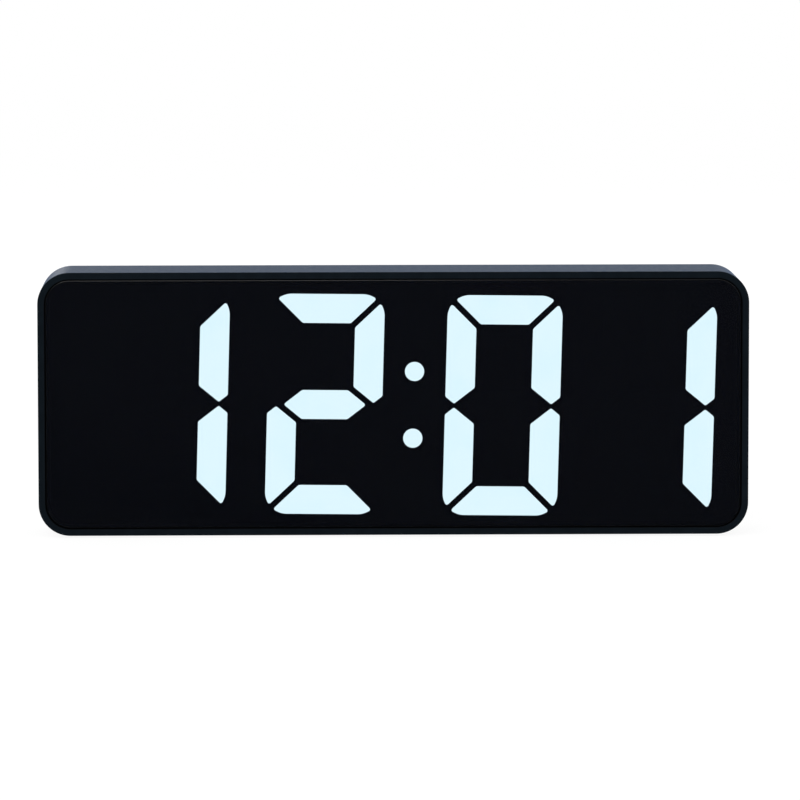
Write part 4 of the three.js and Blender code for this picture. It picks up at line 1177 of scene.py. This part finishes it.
def cover_screw(i, x, z):
    """A pan head with a cross recess, above its plain shank."""
    node = f"cover_screw_{i}"
    front, back = depths(node)
    seat = back - SCREW_HEAD_HEIGHT
    profile = [
        (SCREW_RADIUS * SCREW_TIP_SHARE, front), (SCREW_RADIUS, front + SCREW_TIP_LENGTH),
        (SCREW_RADIUS, seat), (SCREW_HEAD_RADIUS, seat),
    ]
    profile += [
        (SCREW_HEAD_RADIUS - inwards, back - along)
        for inwards, along in quarter_round(SCREW_SHOULDER, SMALL_STEPS)
    ]
    mesh = swept(lambda radius: circle(radius, x, z), profile)
    screw = object_of(mesh, node.replace("cover", "corner"))
    for side, up in ((CROSS_REACH, CROSS_HALF_WIDTH), (CROSS_HALF_WIDTH, CROSS_REACH)):
        combined(screw, "DIFFERENCE", [
            block(x - side, x + side, back - CROSS_DEPTH, back + CUT_OVER, z - up, z + up),
        ])
    finished(screw, STEEL, "case", "plated_steel", node)


SOCKET_FRONT, SOCKET_BACK = depths("usb_socket")
SOCKET_WALL = 0.3
SOCKET_RIM = 0.08
SOCKET_FLOOR = SOCKET_FRONT + 4 * SOCKET_WALL
SOCKET_TONGUE_WIDTH = 6.6
SOCKET_TONGUE_THICKNESS = 0.7
SOCKET_TONGUE_RECESS = 0.8
SOCKET_TONGUE_EDGE = 0.1
SOCKET_TONGUE_BACK = SOCKET_BACK - SOCKET_TONGUE_RECESS
CONTACTS_EACH_SIDE = 12
CONTACT_PITCH = 0.5
CONTACT_WIDTH = 0.28
CONTACT_THICKNESS = 0.04
CONTACT_REACH = 4.0
CONTACT_RECESS = 0.4


def socket_shell():
    x, z = SOCKET
    profile = [
        (0.0, SOCKET_FRONT), (0.0, SOCKET_BACK - SOCKET_RIM), (-SOCKET_RIM, SOCKET_BACK),
        (-SOCKET_WALL + SOCKET_RIM, SOCKET_BACK), (-SOCKET_WALL, SOCKET_BACK - SOCKET_RIM),
        (-SOCKET_WALL, SOCKET_FLOOR),
    ]
    mesh = swept(lambda border: pill(SOCKET_WIDTH, SOCKET_HEIGHT, border, x, z), profile)
    shell = object_of(mesh, "socket_shell")
    finished(shell, STEEL, "case", "plated_steel", "usb_socket")


def socket_tongue():
    x, z = SOCKET
    half, thick = SOCKET_TONGUE_WIDTH / 2, SOCKET_TONGUE_THICKNESS / 2
    tongue = object_of(block(
        x - half, x + half, SOCKET_FLOOR, SOCKET_TONGUE_BACK,
        z - thick + CONTACT_THICKNESS, z + thick - CONTACT_THICKNESS,
    ), "socket_tongue")
    bevelled(tongue, SOCKET_TONGUE_EDGE)
    finished(tongue, BLACK_PART, "case", "component_black")


def socket_contacts():
    """A row of flat bars on either side of the tongue, in one mesh."""
    x, z = SOCKET
    thick = SOCKET_TONGUE_THICKNESS / 2
    strips = bmesh.new()
    for side in SIDES:
        ends = sorted((z + side * thick, z + side * (thick - CONTACT_THICKNESS)))
        for i in range(CONTACTS_EACH_SIDE):
            middle = x + (i - (CONTACTS_EACH_SIDE - 1) / 2) * CONTACT_PITCH
            bar = block(
                middle - CONTACT_WIDTH / 2, middle + CONTACT_WIDTH / 2,
                SOCKET_TONGUE_BACK - CONTACT_REACH, SOCKET_TONGUE_BACK - CONTACT_RECESS, *ends,
            )
            data = bpy.data.meshes.new("strip")
            bar.to_mesh(data)
            bar.free()
            strips.from_mesh(data)
            bpy.data.meshes.remove(data)
    finished(object_of(strips, "socket_contacts"), GOLD, "case", "plated_steel")


rear_cover()
battery_door()
for name, x in zip(KEYS, KEY_PLACES):
    key(name, f"{name}_body", x)
for i, (x, z) in enumerate(CORNER_SCREWS, 1):
    cover_screw(i, x, z)
socket_shell()
socket_tongue()
socket_contacts()

# Finishes of the nodes that keep their shape
KEPT = {
    "lens_adhesive": TAPE, "segment_mask": MASK, "reflector_block": WHITE, "main_board": BOARD,
    "clock_chip": BLACK_PART, "crystal": STEEL, "smoothing_capacitor": SLEEVE,
    "buzzer": BLACK_PART, "key_board": BOARD, "ribbon_cable": GREY, "terminal_positive": STEEL,
    "terminal_negative": STEEL, "contact_bridge_left": STEEL, "contact_bridge_right": STEEL,
    "wire_positive": RED, "wire_negative": GREY,
}
PATTERNS = {
    "board_screw_": STEEL, "key_board_screw_": STEEL, "switch_plunger_": WHITE,
    "switch_": BLACK_PART,
}


def finish_of(node):
    if node in KEPT:
        return KEPT[node]
    return next(material for start, material in PATTERNS.items() if node.startswith(start))


for node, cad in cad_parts.items():
    if cad.hide_render:
        continue
    cad.data.materials.clear()
    cad.data.materials.append(finish_of(node))

# Background, floor and lights

AMBIENT = 0.62
FLOOR_HALF = 2.0
FLOOR_GREY = 0.9
FLOOR_GLOW = 1.07
FLOOR_SHARE = 0.86  # how much of the floor's look is its glow, for rays that see it straight
LAMP_TARGET = Vector((0, 0, 0.03))


def seen_share(tree):
    """1 for rays that see the background straight, mirrored or through glass, else 0."""
    path = tree.nodes.new("ShaderNodeLightPath")
    total = path.outputs["Is Camera Ray"]
    for kind in ("Is Glossy Ray", "Is Transmission Ray"):
        both = tree.nodes.new("ShaderNodeMath")
        both.operation = "MAXIMUM"
        tree.links.new(total, both.inputs[0])
        tree.links.new(path.outputs[kind], both.inputs[1])
        total = both.outputs["Value"]
    return total


def backdrop():
    world = bpy.data.worlds.new("studio")
    bpy.context.scene.world = world
    world.use_nodes = True
    tree = world.node_tree
    background = tree.nodes["Background"]
    set_inputs(background, {"Color": (1, 1, 1, 1)})
    strength = tree.nodes.new("ShaderNodeMapRange")
    set_inputs(strength, {"To Min": AMBIENT, "To Max": 1.0})
    tree.links.new(seen_share(tree), strength.inputs["Value"])
    tree.links.new(strength.outputs["Result"], background.inputs["Strength"])


def floor():
    """A white sheet that glows for rays that see it straight, which leaves a faint shadow."""
    mesh = bmesh.new()
    corners = oblong(-FLOOR_HALF, FLOOR_HALF, -FLOOR_HALF, FLOOR_HALF)
    mesh.faces.new([mesh.verts.new((x, y, 0)) for x, y in corners])
    sheet = object_of(mesh, "floor")
    material = bpy.data.materials.new("floor_white")
    material.use_nodes = True
    tree = material.node_tree
    tree.nodes.remove(tree.nodes["Principled BSDF"])
    diffuse = tree.nodes.new("ShaderNodeBsdfDiffuse")
    set_inputs(diffuse, {"Color": (FLOOR_GREY, FLOOR_GREY, FLOOR_GREY, 1)})
    glow = tree.nodes.new("ShaderNodeEmission")
    set_inputs(glow, {"Strength": FLOOR_GLOW})
    share = tree.nodes.new("ShaderNodeMath")
    share.operation = "MULTIPLY"
    share.inputs[1].default_value = FLOOR_SHARE
    mix = tree.nodes.new("ShaderNodeMixShader")
    tree.links.new(seen_share(tree), share.inputs[0])
    tree.links.new(share.outputs["Value"], mix.inputs["Fac"])
    tree.links.new(diffuse.outputs["BSDF"], mix.inputs[1])
    tree.links.new(glow.outputs["Emission"], mix.inputs[2])
    tree.links.new(mix.outputs["Shader"], tree.nodes["Material Output"].inputs["Surface"])
    sheet.data.materials.append(material)


def lamp(name, place, width, power):
    """A lamp half as high as it is wide, turned to the clock."""
    data = bpy.data.lights.new(name, "AREA")
    data.shape = "RECTANGLE"
    data.size, data.size_y = width, width / 2
    data.energy = power
    made = bpy.data.objects.new(name, data)
    made.location = place
    made.rotation_euler = (LAMP_TARGET - Vector(place)).to_track_quat("-Z", "Y").to_euler()
    bpy.context.scene.collection.objects.link(made)


backdrop()
floor()
lamp("key_softbox", (-0.15, -0.62, 0.52), width=0.4, power=1.9)
lamp("rear_softbox", (0.25, 0.9, 0.6), width=0.6, power=0.7)
lamp("left_strip", (-0.27, 0.9, 0.38), width=0.2, power=1.4)
lamp("right_strip", (0.2, 0.9, 0.45), width=0.2, power=0.25)

# Camera, set back with a long lens as in the photograph

LOOK_AT = Vector((1.443 * MM, case_low.y, 31.54 * MM + case_low.z))
DISTANCE = 1.3328
PITCH = math.radians(5.8346)
YAW = math.radians(-1.1934)
ROLL = math.radians(-0.0465)
SENSOR = 36.0
FOCAL_LENGTH = 258.5


def camera():
    """Looks at LOOK_AT from DISTANCE along back, and is rolled about that line."""
    back = Vector((
        math.sin(YAW) * math.cos(PITCH), -math.cos(YAW) * math.cos(PITCH), math.sin(PITCH),
    ))
    right = (-back).cross(Vector((0, 0, 1))).normalized()
    up = right.cross(-back)
    turned_right = math.cos(ROLL) * right + math.sin(ROLL) * up
    turned_up = math.cos(ROLL) * up - math.sin(ROLL) * right
    data = bpy.data.cameras.new("camera")
    data.sensor_width = SENSOR
    data.lens = FOCAL_LENGTH
    made = bpy.data.objects.new("camera", data)
    axes = Matrix((turned_right, turned_up, back)).transposed().to_4x4()
    made.matrix_world = Matrix.Translation(LOOK_AT + back * DISTANCE) @ axes
    bpy.context.scene.collection.objects.link(made)
    bpy.context.scene.camera = made


camera()
bpy.context.scene.view_settings.view_transform = "Standard"
